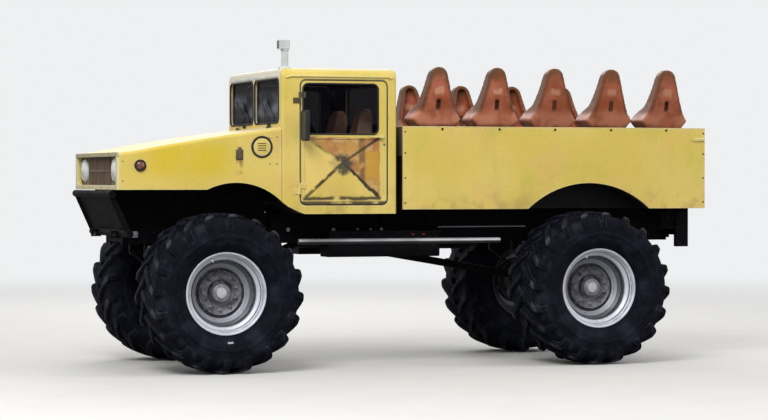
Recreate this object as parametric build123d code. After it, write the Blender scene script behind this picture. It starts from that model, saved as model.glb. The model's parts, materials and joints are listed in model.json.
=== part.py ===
from build123d import *
import os
from math import atan2, cos, sin, pi

# Passenger monster truck: a cab-and-bed truck lifted over big tractor tyres.
# Millimetres. Forward is -X, the driver's left is -Y, up is +Z.
# The origin is on the ground, in the middle of the truck's length and width.
# Names ending in _Z are heights above the ground and those ending in _Y are places across.
# Plain places along the truck are measured back from the front axle; at() turns them into X.

# Driving dimensions
WHEELBASE = 4240
FRONT_OVERHANG = 1150
REAR_OVERHANG = 1460
TRACK = 2090
TYRE_RADIUS = 840
TYRE_WIDTH = 800
FRAME_LIFT = 500
FRAME_WIDTH = 790
CAB_LENGTH = 1300
CAB_HEIGHT = 1556
BED_HEIGHT = 894
BODY_HALF_WIDTH = 1044

FRONT_AXLE_X = -(FRONT_OVERHANG + WHEELBASE + REAR_OVERHANG) / 2 + FRONT_OVERHANG
REAR_AXLE_X = FRONT_AXLE_X + WHEELBASE
WHEEL_Y = TRACK / 2
AXLE_Z = TYRE_RADIUS
CLEARANCE = 5
RUNNING_FIT = 0.1

# Sheet and wall thicknesses
SKIN = 25
WALL = 40
GLASS = 6
BED_FLOOR = 40
WINDOW_CORNER = 60

# Frame
RAIL_HEIGHT = 170
RAIL_FLANGE = 75
RAIL_WEB = 12
RAIL_OUTER_Y = FRAME_WIDTH / 2
RAIL_INNER_Y = RAIL_OUTER_Y - RAIL_FLANGE
RAIL_BOTTOM_Z = AXLE_Z + FRAME_LIFT
RAIL_TOP_Z = RAIL_BOTTOM_Z + RAIL_HEIGHT

# Side view of the body
NOSE_FRONT = -FRONT_OVERHANG + 63
CAB_FRONT = 690
CAB_REAR = CAB_FRONT + CAB_LENGTH
COWL_STRIP = 30
HOOD_REAR = CAB_FRONT - COWL_STRIP
DOOR_FRONT = CAB_FRONT + 199
CAB_TO_BED = 75
BED_FRONT = CAB_REAR + CAB_TO_BED
BED_REAR = WHEELBASE + REAR_OVERHANG - 30
RAIL_FRONT = NOSE_FRONT + 203
RAIL_REAR = BED_REAR - 170

CAB_BOTTOM_Z = RAIL_TOP_Z + 154
ROOF_Z = CAB_BOTTOM_Z + CAB_HEIGHT
COWL_Z = RAIL_TOP_Z + 1080
NOSE_BOTTOM_Z = RAIL_TOP_Z + 415
NOSE_TOP_Z = NOSE_BOTTOM_Z + 392
BED_BOTTOM_Z = RAIL_TOP_Z + 199
BED_TOP_Z = BED_BOTTOM_Z + BED_HEIGHT
DECK_Z = BED_TOP_Z - 303

# Wheel arches
FRONT_ARCH = 196
FRONT_ARCH_Z = RAIL_TOP_Z - 230
FRONT_ARCH_RADIUS = 718
REAR_ARCH = WHEELBASE + 15
REAR_ARCH_Z = BED_BOTTOM_Z - 800
REAR_ARCH_RADIUS = 1083
WHEEL_HOUSE_INNER_Y = WHEEL_Y - TYRE_WIDTH / 2 - 35

# Wheels, with axial places measured outwards from the tyre's middle plane
RIM_HALF_WIDTH = 306
RIM_FLANGE_RADIUS = 436
RIM_SEAT_RADIUS = 415
RIM_WELL_RADIUS = 360
RIM_SHEET = 14
RIM_FLANGE = 14
RIM_SIDES = 28
DISC_FACE = 36
DISC = 16
DRUM_RADIUS = 205
DRUM_INNER = -110
HUB_RADIUS = 100
HUB_FACE = 120

# Tyre lugs, in two rows of slanting bars that meet staggered on the middle plane
LUGS = 20
LUG_WIDTH = 62
LUG_FOOT = 84
LUG_SWEEP = 0.62
# share of the half width, drop of the lug's tip below the tyre's radius, lug height
TREAD = ((0, 0, 48), (0.86, 8, 50), (1, 165, 0))
WALL_RING_RADIUS = 560
BEAD_COVER = 10
BEAD_FIT = 0.5

# Steering
SPINDLE_RADIUS = 45
SPINDLE_TIP = 20
KINGPIN_Y = WHEEL_Y - 215
KINGPIN_RADIUS = 25
KNUCKLE_HALF_HEIGHT = 100
KNUCKLE_RADIUS = 55
STEERING_ARM = -240
TIE_ROD_RADIUS = 22
TIE_ROD_DROP = 25


def at(back):
    """X of a place measured back from the front axle."""
    return FRONT_AXLE_X + back


def both(near, far, side):
    """The two places across, in rising order, on one side of the truck."""
    return sorted((side * near, side * far))


def along_x(sketch, x_from, x_to):
    """Sketch of (y, z) extruded from x_from to x_to."""
    return extrude(Plane(origin=(x_from, 0, 0), x_dir=(0, 1, 0), z_dir=(1, 0, 0)) * sketch, x_to - x_from)


def along_y(sketch, y_from, y_to):
    """Sketch of (x, z) extruded from y_from to y_to."""
    return extrude(Plane(origin=(0, y_to, 0), x_dir=(1, 0, 0), z_dir=(0, -1, 0)) * sketch, y_to - y_from)


def polygon(*points):
    return make_face(Polyline(*points, close=True))


def rounded(x_from, x_to, y_from, y_to, radius):
    """Rectangle with round corners."""
    sketch = RectangleRounded(x_to - x_from, y_to - y_from, radius)
    return Pos((x_from + x_to) / 2, (y_from + y_to) / 2) * sketch


def block(x_from, x_to, y_from, y_to, z_from, z_to):
    centre = Pos((x_from + x_to) / 2, (y_from + y_to) / 2, (z_from + z_to) / 2)
    return centre * Box(x_to - x_from, y_to - y_from, z_to - z_from)


def side_block(x_from, x_to, near, far, side, z_from, z_to):
    """Block between two places across, on one side of the truck."""
    y_from, y_to = both(near, far, side)
    return block(x_from, x_to, y_from, y_to, z_from, z_to)


def rod(start, end, radius):
    """Round bar between two points."""
    start, end = Vector(*start), Vector(*end)
    plane = Plane(origin=start, z_dir=end - start)
    return extrude(plane * Circle(radius), (end - start).length)


def upright(x, y, z_from, z_to, radius):
    return Pos(x, y, (z_from + z_to) / 2) * Cylinder(radius, z_to - z_from)


def cross_bar(x, z, y_from, y_to, radius):
    return rod((x, y_from, z), (x, y_to, z), radius)


def joined(pieces):
    body = pieces[0]
    for piece in pieces[1:]:
        body += piece
    return body


def write(name, *solids):
    """One STEP file; several solids of one node stay apart in it."""
    shape = solids[0] if len(solids) == 1 else Compound(children=list(solids))
    export_step(shape, f"parts/{name}.step")


# Flat-faced rings about the Y axis

def ring_point(across, radius, angle):
    return (radius * sin(angle), across, radius * cos(angle))


def circle_ring(across, radius, sides):
    return [ring_point(across, radius, 2 * pi * number / sides) for number in range(sides)]


def band(ring, other, split):
    """Faces between two rings of as many points, as triangles where they twist."""
    faces = []
    for number in range(len(ring)):
        following = (number + 1) % len(ring)
        near, far = (ring[number], ring[following]), (other[number], other[following])
        if split:
            faces.append(Face(Wire.make_polygon([near[0], far[0], far[1]])))
            faces.append(Face(Wire.make_polygon([near[0], far[1], near[1]])))
        else:
            faces.append(Face(Wire.make_polygon([near[0], far[0], far[1], near[1]])))
    return faces


def washer(ring, hole):
    return Face(Wire.make_polygon(ring), [Wire.make_polygon(hole)])


def turned(profile, sides):
    """Ring with flat sides, from a closed profile of (across, radius) corners."""
    faces = []
    for number, (across, radius) in enumerate(profile):
        next_across, next_radius = profile[(number + 1) % len(profile)]
        ring, other = circle_ring(across, radius, sides), circle_ring(next_across, next_radius, sides)
        if across == next_across:
            faces.append(washer(ring, other) if radius > next_radius else washer(other, ring))
        else:
            faces += band(ring, other, False)
    return Solid(Shell(faces))


# Wheels

def tread_ring(across, radius, height, turn):
    """Foot, tip, tip and foot of every lug on one section of the tyre."""
    points = []
    half, foot = LUG_WIDTH / 2 / radius, LUG_FOOT / 2 / radius
    root, tip = radius - height, radius / cos(half)
    for lug in range(LUGS):
        middle = 2 * pi * lug / LUGS + turn
        for offset, reach in ((-foot, root), (-half, tip), (half, tip), (foot, root)):
            points.append(ring_point(across, reach, middle + offset))
    return points


def half_tyre(stagger):
    """Tread, side wall and bead from the middle plane outwards."""
    rings = []
    for share, drop, height in TREAD:
        across = share * TYRE_WIDTH / 2
        turn = stagger * pi / LUGS + LUG_SWEEP * across / TYRE_RADIUS
        rings.append(tread_ring(across, TYRE_RADIUS - drop, height, turn))
    faces = []
    for ring, other in zip(rings, rings[1:]):
        faces += band(ring, other, True)
    bead = RIM_HALF_WIDTH - RIM_FLANGE
    inner = RIM_SEAT_RADIUS / cos(pi / LUGS) + BEAD_FIT
    wall = circle_ring(TYRE_WIDTH / 2, WALL_RING_RADIUS, 2 * LUGS)
    cover = circle_ring(bead, RIM_FLANGE_RADIUS + BEAD_COVER, 2 * LUGS)
    seat = circle_ring(bead, inner, LUGS)
    middle = circle_ring(0, inner, LUGS)
    faces.append(washer(rings[-1], wall))
    faces += band(wall, cover, False)
    faces.append(washer(cover, seat))
    faces += band(seat, middle, False)
    faces.append(washer(rings[0], middle))
    return Solid(Shell(faces))


def tyre():
    """Tractor tyre about the origin, with its axle along Y."""
    return half_tyre(0) + half_tyre(1).mirror(Plane.XZ)


def rim():
    """Deep dish wheel with its hub and brake drum about the origin; outwards is +Y."""
    seat, well, sheet = RIM_SEAT_RADIUS, RIM_WELL_RADIUS, RIM_SHEET
    edge, inner = RIM_HALF_WIDTH, RIM_HALF_WIDTH - RIM_FLANGE
    ramp, step = 230, 35
    barrel = turned((
        (-edge, seat - sheet), (-edge, RIM_FLANGE_RADIUS), (-inner, RIM_FLANGE_RADIUS), (-inner, seat),
        (-ramp, seat), (step - ramp, well), (ramp - step, well), (ramp, seat), (inner, seat),
        (inner, RIM_FLANGE_RADIUS), (edge, RIM_FLANGE_RADIUS), (edge, seat - sheet), (ramp, seat - sheet),
        (ramp - step, well - sheet), (step - ramp, well - sheet), (-ramp, seat - sheet)), RIM_SIDES)
    back = DISC_FACE - DISC
    core = HUB_RADIUS / 2 + 10
    centre = turned((
        (DRUM_INNER, core), (DRUM_INNER, DRUM_RADIUS), (back, DRUM_RADIUS), (back, well - sheet / 2),
        (DISC_FACE, well - sheet / 2), (DISC_FACE, DRUM_RADIUS - 20), (DISC_FACE + 20, HUB_RADIUS + 25),
        (DISC_FACE + 20, HUB_RADIUS), (HUB_FACE - 20, HUB_RADIUS), (HUB_FACE, HUB_RADIUS - 15),
        (HUB_FACE, core)), RIM_SIDES)
    sleeve = cross_bar(0, 0, DRUM_INNER, HUB_FACE, core + 10)
    bore = cross_bar(0, 0, DRUM_INNER, DISC_FACE + SPINDLE_TIP + CLEARANCE, SPINDLE_RADIUS + RUNNING_FIT)
    return barrel + centre + sleeve - bore


# Axles and steering

SPRING_WIDTH = 70
SPRING_OUTER_Y = RAIL_OUTER_Y - 15
SPRING_INNER_Y = SPRING_OUTER_Y - SPRING_WIDTH
SPRING_HALF_LENGTH = 600
SPRING_EYE_Z = RAIL_BOTTOM_Z - 110
SPRING_EYE_RADIUS = 28
SPRING_TOP_Z = AXLE_Z + 160
LEAF = 15
LEAF_LENGTHS = (1.0, 0.82, 0.62, 0.42)
SPRING_SEAT_Z = SPRING_TOP_Z - len(LEAF_LENGTHS) * LEAF


def leaf_spring(x, side):
    """Pack of leaves under a main leaf with an eye at each end."""
    half = SPRING_HALF_LENGTH
    drop = SPRING_EYE_Z - SPRING_TOP_Z
    radius = (half ** 2 + drop ** 2) / (2 * drop)
    y_from, y_to = both(SPRING_INNER_Y, SPRING_OUTER_Y, side)
    leaves = []
    for number, share in enumerate(LEAF_LENGTHS):
        inner = radius + number * LEAF
        ring = Circle(inner + LEAF) - Circle(inner)
        window = Pos(0, -radius) * Rectangle(2 * half * share, 2 * radius)
        leaves.append(along_y(Pos(x, SPRING_TOP_Z + radius) * (ring & window), y_from, y_to))
    eyes = [cross_bar(x + end, SPRING_EYE_Z, y_from, y_to, SPRING_EYE_RADIUS) for end in (-half, half)]
    return joined(leaves + eyes)


AXLE_TUBE_RADIUS = 75
DIFFERENTIAL_RADIUS = 185
DIFFERENTIAL_HALF_WIDTH = 150
DIFFERENTIAL_SIDES = 16
SPRING_PAD = 70
PINION_REACH = 260
PINION_RISE = 70
PINION_RADIUS = 65


def differential():
    """Banjo housing about the origin: drum shaped, with cone shoulders on the axle tubes."""
    middle, shoulder, half = DIFFERENTIAL_RADIUS, AXLE_TUBE_RADIUS, DIFFERENTIAL_HALF_WIDTH
    core = shoulder / 2
    return turned(((-half, core), (-half, shoulder), (-half / 2, middle), (half / 2, middle),
                   (half, shoulder), (half, core)), DIFFERENTIAL_SIDES)


def pinion(x, direction):
    """Where the drive shaft's flange meets the differential's nose."""
    return (x + direction * PINION_REACH, 0, AXLE_Z + PINION_RISE)


def axle_body(x, half_width, direction):
    """Tube, differential, pinion nose and spring pads of one live axle."""
    body = cross_bar(x, AXLE_Z, -half_width, half_width, AXLE_TUBE_RADIUS)
    body += Pos(x, 0, AXLE_Z) * differential()
    body += rod((x, 0, AXLE_Z), pinion(x, direction), PINION_RADIUS)
    for side in (-1, 1):
        body += side_block(x - SPRING_PAD, x + SPRING_PAD, SPRING_INNER_Y, SPRING_OUTER_Y, side,
                           AXLE_Z, SPRING_SEAT_Z)
    return body


FORK_PLATE = 40
FORK_HALF = 60
FORK_INNER_Y = KINGPIN_Y - 130
FORK_GAP = 3


def front_axle():
    """Live axle that ends in a fork over and under each kingpin."""
    body = axle_body(FRONT_AXLE_X, FORK_INNER_Y + FORK_PLATE, 1)
    reach = KNUCKLE_HALF_HEIGHT + FORK_GAP
    front, rear = FRONT_AXLE_X - FORK_HALF, FRONT_AXLE_X + FORK_HALF
    for side in (-1, 1):
        y = side * KINGPIN_Y
        body += side_block(front, rear, FORK_INNER_Y, FORK_INNER_Y + FORK_PLATE, side,
                           AXLE_Z - reach - FORK_PLATE, AXLE_Z + reach + FORK_PLATE)
        for z in (AXLE_Z + reach, AXLE_Z - reach - FORK_PLATE):
            body += side_block(front, rear, FORK_INNER_Y, KINGPIN_Y, side, z, z + FORK_PLATE)
            body += upright(FRONT_AXLE_X, y, z, z + FORK_PLATE, FORK_HALF)
        body += upright(FRONT_AXLE_X, y, AXLE_Z - reach, AXLE_Z + reach, KINGPIN_RADIUS)
    return body


def rear_axle():
    body = axle_body(REAR_AXLE_X, WHEEL_Y + DRUM_INNER - CLEARANCE, -1)
    tip = WHEEL_Y + DISC_FACE + SPINDLE_TIP
    return body + cross_bar(REAR_AXLE_X, AXLE_Z, -tip, tip, SPINDLE_RADIUS)


SPINDLE_BOSS_RADIUS = 85
ARM_HALF = 25
ARM_LOW = -85
ARM_HIGH = -50
ARM_EYE_RADIUS = 40
TIE_ROD_PIN_RADIUS = 14
TIE_ROD_EYE_RADIUS = 38
TIE_ROD_EYE_HALF = 20


def knuckle(side):
    """Kingpin barrel, spindle and steering arm."""
    x, y = FRONT_AXLE_X, side * KINGPIN_Y
    body = upright(x, y, AXLE_Z - KNUCKLE_HALF_HEIGHT, AXLE_Z + KNUCKLE_HALF_HEIGHT, KNUCKLE_RADIUS)
    body += cross_bar(x, AXLE_Z, y, side * (WHEEL_Y + DRUM_INNER - CLEARANCE), SPINDLE_BOSS_RADIUS)
    body += cross_bar(x, AXLE_Z, y, side * (WHEEL_Y + DISC_FACE + SPINDLE_TIP), SPINDLE_RADIUS)
    body += block(x + STEERING_ARM, x, y - ARM_HALF, y + ARM_HALF, AXLE_Z + ARM_LOW, AXLE_Z + ARM_HIGH)
    body += upright(x + STEERING_ARM, y, AXLE_Z + ARM_LOW, AXLE_Z + ARM_HIGH, ARM_EYE_RADIUS)
    body += upright(x + STEERING_ARM, y, AXLE_Z + ARM_HIGH, AXLE_Z - TIE_ROD_DROP + TIE_ROD_EYE_HALF,
                    TIE_ROD_PIN_RADIUS)
    return body - upright(x, y, 0, 2 * AXLE_Z, KINGPIN_RADIUS + RUNNING_FIT)


def tie_rod():
    """Cross tube with an eye on each steering arm's pin."""
    x, z = FRONT_AXLE_X + STEERING_ARM, AXLE_Z - TIE_ROD_DROP
    body = cross_bar(x, z, -KINGPIN_Y, KINGPIN_Y, TIE_ROD_RADIUS)
    for side in (-1, 1):
        body += upright(x, side * KINGPIN_Y, z - TIE_ROD_RADIUS, z + TIE_ROD_EYE_HALF, TIE_ROD_EYE_RADIUS)
        body -= upright(x, side * KINGPIN_Y, 0, 2 * AXLE_Z, TIE_ROD_PIN_RADIUS + RUNNING_FIT)
    return body


# Frame and running gear

HANGER_HALF = 35


def frame_rail(side):
    """Channel rail open inwards, with spring hangers under it."""
    web = RAIL_OUTER_Y - RAIL_WEB
    front, rear = at(RAIL_FRONT), at(RAIL_REAR)
    rail = side_block(front, rear, RAIL_INNER_Y, RAIL_OUTER_Y, side, RAIL_BOTTOM_Z, RAIL_TOP_Z)
    rail -= side_block(front, rear, RAIL_INNER_Y, web, side, RAIL_BOTTOM_Z + RAIL_WEB, RAIL_TOP_Z - RAIL_WEB)
    for axle in (0, WHEELBASE):
        for end in (-SPRING_HALF_LENGTH, SPRING_HALF_LENGTH):
            x = at(axle + end)
            hanger = side_block(x - HANGER_HALF, x + HANGER_HALF, SPRING_INNER_Y, SPRING_OUTER_Y, side,
                                SPRING_EYE_Z, RAIL_BOTTOM_Z)
            rail += hanger - cross_bar(x, SPRING_EYE_Z, -BODY_HALF_WIDTH, BODY_HALF_WIDTH, SPRING_EYE_RADIUS)
    return rail


# front, rear, top z of what lifts the cab and the bed off the rails
SILLS = ((CAB_FRONT + 70, CAB_REAR, CAB_BOTTOM_Z), (BED_FRONT, RAIL_REAR, BED_BOTTOM_Z))


def body_sills():
    """Beams along the rails' tops, under the cab and under the bed."""
    return [side_block(at(front), at(rear), RAIL_INNER_Y, RAIL_OUTER_Y, side, RAIL_TOP_Z, top)
            for front, rear, top in SILLS for side in (-1, 1)]


CROSSMEMBER = 60
CROSSMEMBER_LOW_Z = RAIL_BOTTOM_Z + 20
CROSSMEMBER_HIGH_Z = RAIL_TOP_Z - 20
# front, rear, half width, bottom z, top z
ENGINE = (-560, 320, 270, RAIL_BOTTOM_Z + 80, NOSE_TOP_Z - 167)
GEARBOX = (320, 980, 170, RAIL_BOTTOM_Z + 60, RAIL_TOP_Z + 130)
TRANSFER = (1200, 1500, 200, RAIL_BOTTOM_Z - 60, RAIL_TOP_Z + 130)
GEARBOX_MEMBER = GEARBOX[1] - 80
TANK_FRONT_MEMBER = 2360
TANK_REAR_MEMBER = 3120
CROSSMEMBERS = (RAIL_FRONT, 1700, TANK_FRONT_MEMBER, TANK_REAR_MEMBER, WHEELBASE - 540, WHEELBASE + 560,
                RAIL_REAR - CROSSMEMBER)


def crossmembers():
    """Beams from one rail's web to the other's; the gearbox rests on a low one."""
    reach = RAIL_OUTER_Y - RAIL_WEB
    beams = [block(at(back), at(back + CROSSMEMBER), -reach, reach, CROSSMEMBER_LOW_Z, CROSSMEMBER_HIGH_Z)
             for back in CROSSMEMBERS]
    beams.append(block(at(GEARBOX_MEMBER), at(GEARBOX_MEMBER + CROSSMEMBER), -reach, reach,
                       RAIL_BOTTOM_Z + RAIL_WEB, GEARBOX[3]))
    return beams


SHOCK_Y = RAIL_OUTER_Y + 45
SHOCK_TOP_Z = RAIL_BOTTOM_Z + 100
SHOCK_OFFSET = 150
SHOCK_RADIUS = 34
SHOCK_ROD_RADIUS = 18
SHOCK_BODY_Z = AXLE_Z + 150
SHOCK_FOOT_Z = AXLE_Z + 60


def shock_absorber(axle, side, end):
    """Damper from the axle's bracket to the rail's side."""
    x, y = at(axle) + end * SHOCK_OFFSET, side * SHOCK_Y
    body = rod((x, y, SHOCK_BODY_Z), (x, y, SHOCK_TOP_Z), SHOCK_RADIUS)
    body += rod((x, y, SHOCK_FOOT_Z), (x, y, SHOCK_BODY_Z), SHOCK_ROD_RADIUS)
    body += side_block(x - 25, x + 25, RAIL_OUTER_Y, SHOCK_Y, side, SHOCK_TOP_Z - 60, SHOCK_TOP_Z - 10)
    low, high = sorted((at(axle) + end * 60, x + end * 30))
    body += block(low, high, y - 25, y + 25, SHOCK_FOOT_Z - 20, SHOCK_FOOT_Z + 15)
    return body - cross_bar(at(axle), AXLE_Z, -WHEEL_Y, WHEEL_Y, AXLE_TUBE_RADIUS)


def shock_absorbers():
    return [shock_absorber(axle, side, end) for axle in (0, WHEELBASE) for side in (-1, 1) for end in (-1, 1)]


SHAFT_RADIUS = 42
LINK_SHAFT_Z = RAIL_TOP_Z - 10
ENGINE_MOUNT = 80
RADIATOR_GAP = 10
RADIATOR_HALF_WIDTH = RAIL_INNER_Y - RADIATOR_GAP
RADIATOR_TOP_Z = NOSE_TOP_Z - 130


def powertrain():
    """Engine, gearbox and transfer case as plain blocks on their mounts, and the radiator."""
    blocks = [block(at(front), at(rear), -half, half, low, high)
              for front, rear, half, low, high in (ENGINE, GEARBOX, TRANSFER)]
    shaft = rod((at(GEARBOX[1]), 0, LINK_SHAFT_Z), (at(TRANSFER[0]), 0, LINK_SHAFT_Z), SHAFT_RADIUS)
    body = joined(blocks) + shaft
    reach = RAIL_OUTER_Y - RAIL_WEB
    for back in (ENGINE[0] + 200, TRANSFER[0] + 100):
        body += block(at(back), at(back + ENGINE_MOUNT), -reach, reach, RAIL_BOTTOM_Z + 60, RAIL_TOP_Z - 30)
    radiator = block(at(RAIL_FRONT), at(RAIL_FRONT + CROSSMEMBER), -RADIATOR_HALF_WIDTH, RADIATOR_HALF_WIDTH,
                     CROSSMEMBER_HIGH_Z, RADIATOR_TOP_Z)
    return [body, radiator]


def drive_shafts():
    """Shafts from the transfer case down to each differential's nose."""
    bodies = []
    ends = ((FRONT_AXLE_X, 1, at(TRANSFER[0])), (REAR_AXLE_X, -1, at(TRANSFER[1])))
    for axle_x, direction, x in ends:
        start = pinion(axle_x, direction)
        shaft = rod(start, (x, 0, TRANSFER[3] + 60), SHAFT_RADIUS)
        shaft -= rod((axle_x, 0, AXLE_Z), start, PINION_RADIUS)
        window = block(min(start[0], x), max(start[0], x), -100, 100, 0, ROOF_Z)
        bodies.append(shaft & window)
    return bodies


GUARD_TOP_Z = NOSE_BOTTOM_Z - 45
GUARD_BOTTOM_Z = RAIL_BOTTOM_Z + 120
GUARD_HALF_WIDTH = BODY_HALF_WIDTH - 144
GUARD_PLATE = 8
TUBE = 38
TOW_EYE_Y = RAIL_OUTER_Y + 65
TOW_EYE_PLATE = 26
TOW_EYE_REACH = 110
TOW_EYE_BORE = 18
TOW_EYE_EDGE = 35


def front_guard():
    """Sloping guard under the nose: tubes round a skid plate, on arms from the rails."""
    top_x = at(-FRONT_OVERHANG) + TUBE
    low_x = at(RAIL_FRONT) - TUBE
    half = GUARD_HALF_WIDTH
    body = cross_bar(top_x, GUARD_TOP_Z, -half, half, TUBE)
    body += cross_bar(low_x, GUARD_BOTTOM_Z, -half, half, TUBE)
    brace = TUBE - 6
    for y in (60 - half, half - 60):
        body += rod((top_x, y, GUARD_TOP_Z), (low_x, y, GUARD_BOTTOM_Z), brace)
    skid = polygon((top_x, GUARD_TOP_Z), (low_x, GUARD_BOTTOM_Z), (low_x + GUARD_PLATE, GUARD_BOTTOM_Z),
                   (top_x + GUARD_PLATE, GUARD_TOP_Z))
    body += along_y(skid, 60 - half, half - 60)
    for side in (-1, 1):
        body += side_block(low_x, at(RAIL_FRONT), RAIL_INNER_Y, RAIL_OUTER_Y, side,
                           GUARD_BOTTOM_Z - 30, GUARD_BOTTOM_Z + 30)
        body += side_block(low_x - TOW_EYE_REACH, low_x, TOW_EYE_Y, TOW_EYE_Y + TOW_EYE_PLATE, side,
                           GUARD_BOTTOM_Z - 50, GUARD_BOTTOM_Z + 30)
    eye_x = low_x - TOW_EYE_REACH + TOW_EYE_EDGE
    return body - cross_bar(eye_x, GUARD_BOTTOM_Z - 15, -BODY_HALF_WIDTH, BODY_HALF_WIDTH, TOW_EYE_BORE)


HITCH_Z = RAIL_BOTTOM_Z + 60
HITCH_PLATE = 40
HITCH_REACH = 70
HITCH_BORE = 16
BUMPER_DEPTH = 90
BUMPER_HEIGHT = 120
BUMPER_HALF_WIDTH = BODY_HALF_WIDTH - 344
BUMPER_END = 60
BUMPER_END_LOW_Z = RAIL_BOTTOM_Z - 70


def rear_hitch():
    """Step bumper hung from the bed and the rails, with its tow plate and pin bore."""
    rear = at(WHEELBASE + REAR_OVERHANG)
    face = rear - HITCH_REACH
    front = face - BUMPER_DEPTH
    body = block(front, face, -BUMPER_HALF_WIDTH, BUMPER_HALF_WIDTH, HITCH_Z, HITCH_Z + BUMPER_HEIGHT)
    for side in (-1, 1):
        body += side_block(at(RAIL_REAR), front, RAIL_INNER_Y, RAIL_OUTER_Y, side, HITCH_Z, RAIL_TOP_Z)
        body += side_block(front - BUMPER_END, face, BUMPER_HALF_WIDTH - BUMPER_END, BUMPER_HALF_WIDTH, side,
                           BUMPER_END_LOW_Z, BED_BOTTOM_Z)
    body += block(at(RAIL_REAR), rear, -60, 60, HITCH_Z - HITCH_PLATE, HITCH_Z)
    return body - upright(rear - HITCH_REACH / 2, 0, HITCH_Z - 2 * HITCH_PLATE, HITCH_Z + 1, HITCH_BORE)


SIDE_TUBE_Y = BODY_HALF_WIDTH - 144
SIDE_TUBE_Z = RAIL_BOTTOM_Z + 25
SIDE_TUBE_RADIUS = 30
SIDE_TUBE_FRONT = CAB_FRONT + 230
SIDE_TUBE_REAR = WHEELBASE - 1000
# arm's place from the tube's front or rear end
SIDE_ARM_INSET = (280, 500)
SIDE_ARM = 50


def side_tubes():
    """Step tube along each side, on two arms from the rail."""
    bodies = []
    for side in (-1, 1):
        y = side * SIDE_TUBE_Y
        body = rod((at(SIDE_TUBE_FRONT), y, SIDE_TUBE_Z), (at(SIDE_TUBE_REAR), y, SIDE_TUBE_Z),
                   SIDE_TUBE_RADIUS)
        for back in (SIDE_TUBE_FRONT + SIDE_ARM_INSET[0], SIDE_TUBE_REAR - SIDE_ARM_INSET[1]):
            body += side_block(at(back), at(back + SIDE_ARM), RAIL_OUTER_Y, SIDE_TUBE_Y, side,
                               SIDE_TUBE_Z - 20, SIDE_TUBE_Z + 20)
        bodies.append(body)
    return bodies


SIDE_BOX_FRONT = CAB_FRONT + 640
SIDE_BOX_REAR = WHEELBASE - 1640
SIDE_BOX_BOTTOM_Z = RAIL_BOTTOM_Z - 150
SIDE_BOX_TOP_Z = RAIL_TOP_Z - 40
SIDE_BOX_DEPTH = 330
SIDE_BOX_CORNER = 30
SIDE_BOX_LID = 12


def side_boxes():
    """Tool and battery box on each rail's side, with a lid that stands a little over it."""
    bodies = []
    front, rear = at(SIDE_BOX_FRONT), at(SIDE_BOX_REAR)
    for side in (-1, 1):
        near, far = both(RAIL_OUTER_Y, RAIL_OUTER_Y + SIDE_BOX_DEPTH, side)
        box = along_x(rounded(near, far, SIDE_BOX_BOTTOM_Z, SIDE_BOX_TOP_Z, SIDE_BOX_CORNER), front, rear)
        box += side_block(front, rear, RAIL_OUTER_Y, RAIL_OUTER_Y + SIDE_BOX_CORNER, side,
                          SIDE_BOX_BOTTOM_Z, SIDE_BOX_TOP_Z)
        lid = side_block(front - SIDE_BOX_LID, rear + SIDE_BOX_LID, RAIL_OUTER_Y,
                         RAIL_OUTER_Y + SIDE_BOX_DEPTH + SIDE_BOX_LID, side,
                         SIDE_BOX_TOP_Z - SIDE_BOX_CORNER, SIDE_BOX_TOP_Z)
        bodies.append(box + lid)
    return bodies


TANK_HALF_WIDTH = RAIL_INNER_Y - 20
TANK_BOTTOM_Z = RAIL_BOTTOM_Z - 80
TANK_CORNER = 50


def fuel_tank():
    """Tank between the rails, held by a crossmember at each end."""
    section = rounded(-TANK_HALF_WIDTH, TANK_HALF_WIDTH, TANK_BOTTOM_Z, CROSSMEMBER_HIGH_Z, TANK_CORNER)
    return along_x(section, at(TANK_FRONT_MEMBER + CROSSMEMBER), at(TANK_REAR_MEMBER))


# Nose

NOSE_HALF_WIDTH = BODY_HALF_WIDTH - 32
HOOD_HALF_WIDTH = BODY_HALF_WIDTH - 244
NOSE_EDGE = 40
# back from the nose's front, above its top
HOOD_LINE = ((0, 0), (185, 21), (556, 91), (1194, 193))
ARCH_START = -70


def nose_outline():
    """Side view up to above the cowl, with the front wheel's arch cut out of its lower edge."""
    sketch = polygon((at(NOSE_FRONT), ROOF_Z), (at(CAB_FRONT), ROOF_Z), (at(CAB_FRONT), BED_BOTTOM_Z),
                     (at(ARCH_START), NOSE_BOTTOM_Z), (at(NOSE_FRONT), NOSE_BOTTOM_Z))
    return sketch - Pos(at(FRONT_ARCH), FRONT_ARCH_Z) * Circle(FRONT_ARCH_RADIUS)


def side_skin_y(back):
    """Half width of the nose at a place along it: a little narrower at the front."""
    slope = (BODY_HALF_WIDTH - NOSE_HALF_WIDTH) / (CAB_FRONT - NOSE_FRONT)
    return NOSE_HALF_WIDTH + slope * (back - NOSE_FRONT)


def nose_form(inset):
    """Solid nose down to the ground, lofted through sections with round upper corners."""
    sections = []
    places = [(NOSE_FRONT + back, NOSE_TOP_Z + rise) for back, rise in HOOD_LINE] + [(CAB_FRONT, COWL_Z)]
    for back, z in places:
        half, top = side_skin_y(back) - inset, z - inset
        section = Pos(0, top / 2) * Rectangle(2 * half, top)
        section = fillet(section.vertices().group_by(Axis.Y)[-1], NOSE_EDGE - inset)
        sections.append(Plane(origin=(at(back), 0, 0), x_dir=(0, 1, 0), z_dir=(1, 0, 0)) * section)
    return loft(sections, ruled=True)


def nose_shell():
    """Sheet metal of the whole nose, with rounded upper edges; its front wall is kept."""
    outer = nose_form(0) & along_y(nose_outline(), -BODY_HALF_WIDTH, BODY_HALF_WIDTH)
    inner = nose_form(SKIN) & block(at(NOSE_FRONT) + SKIN, at(CAB_FRONT), -BODY_HALF_WIDTH, BODY_HALF_WIDTH,
                                    0, ROOF_Z)
    return outer - inner


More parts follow.
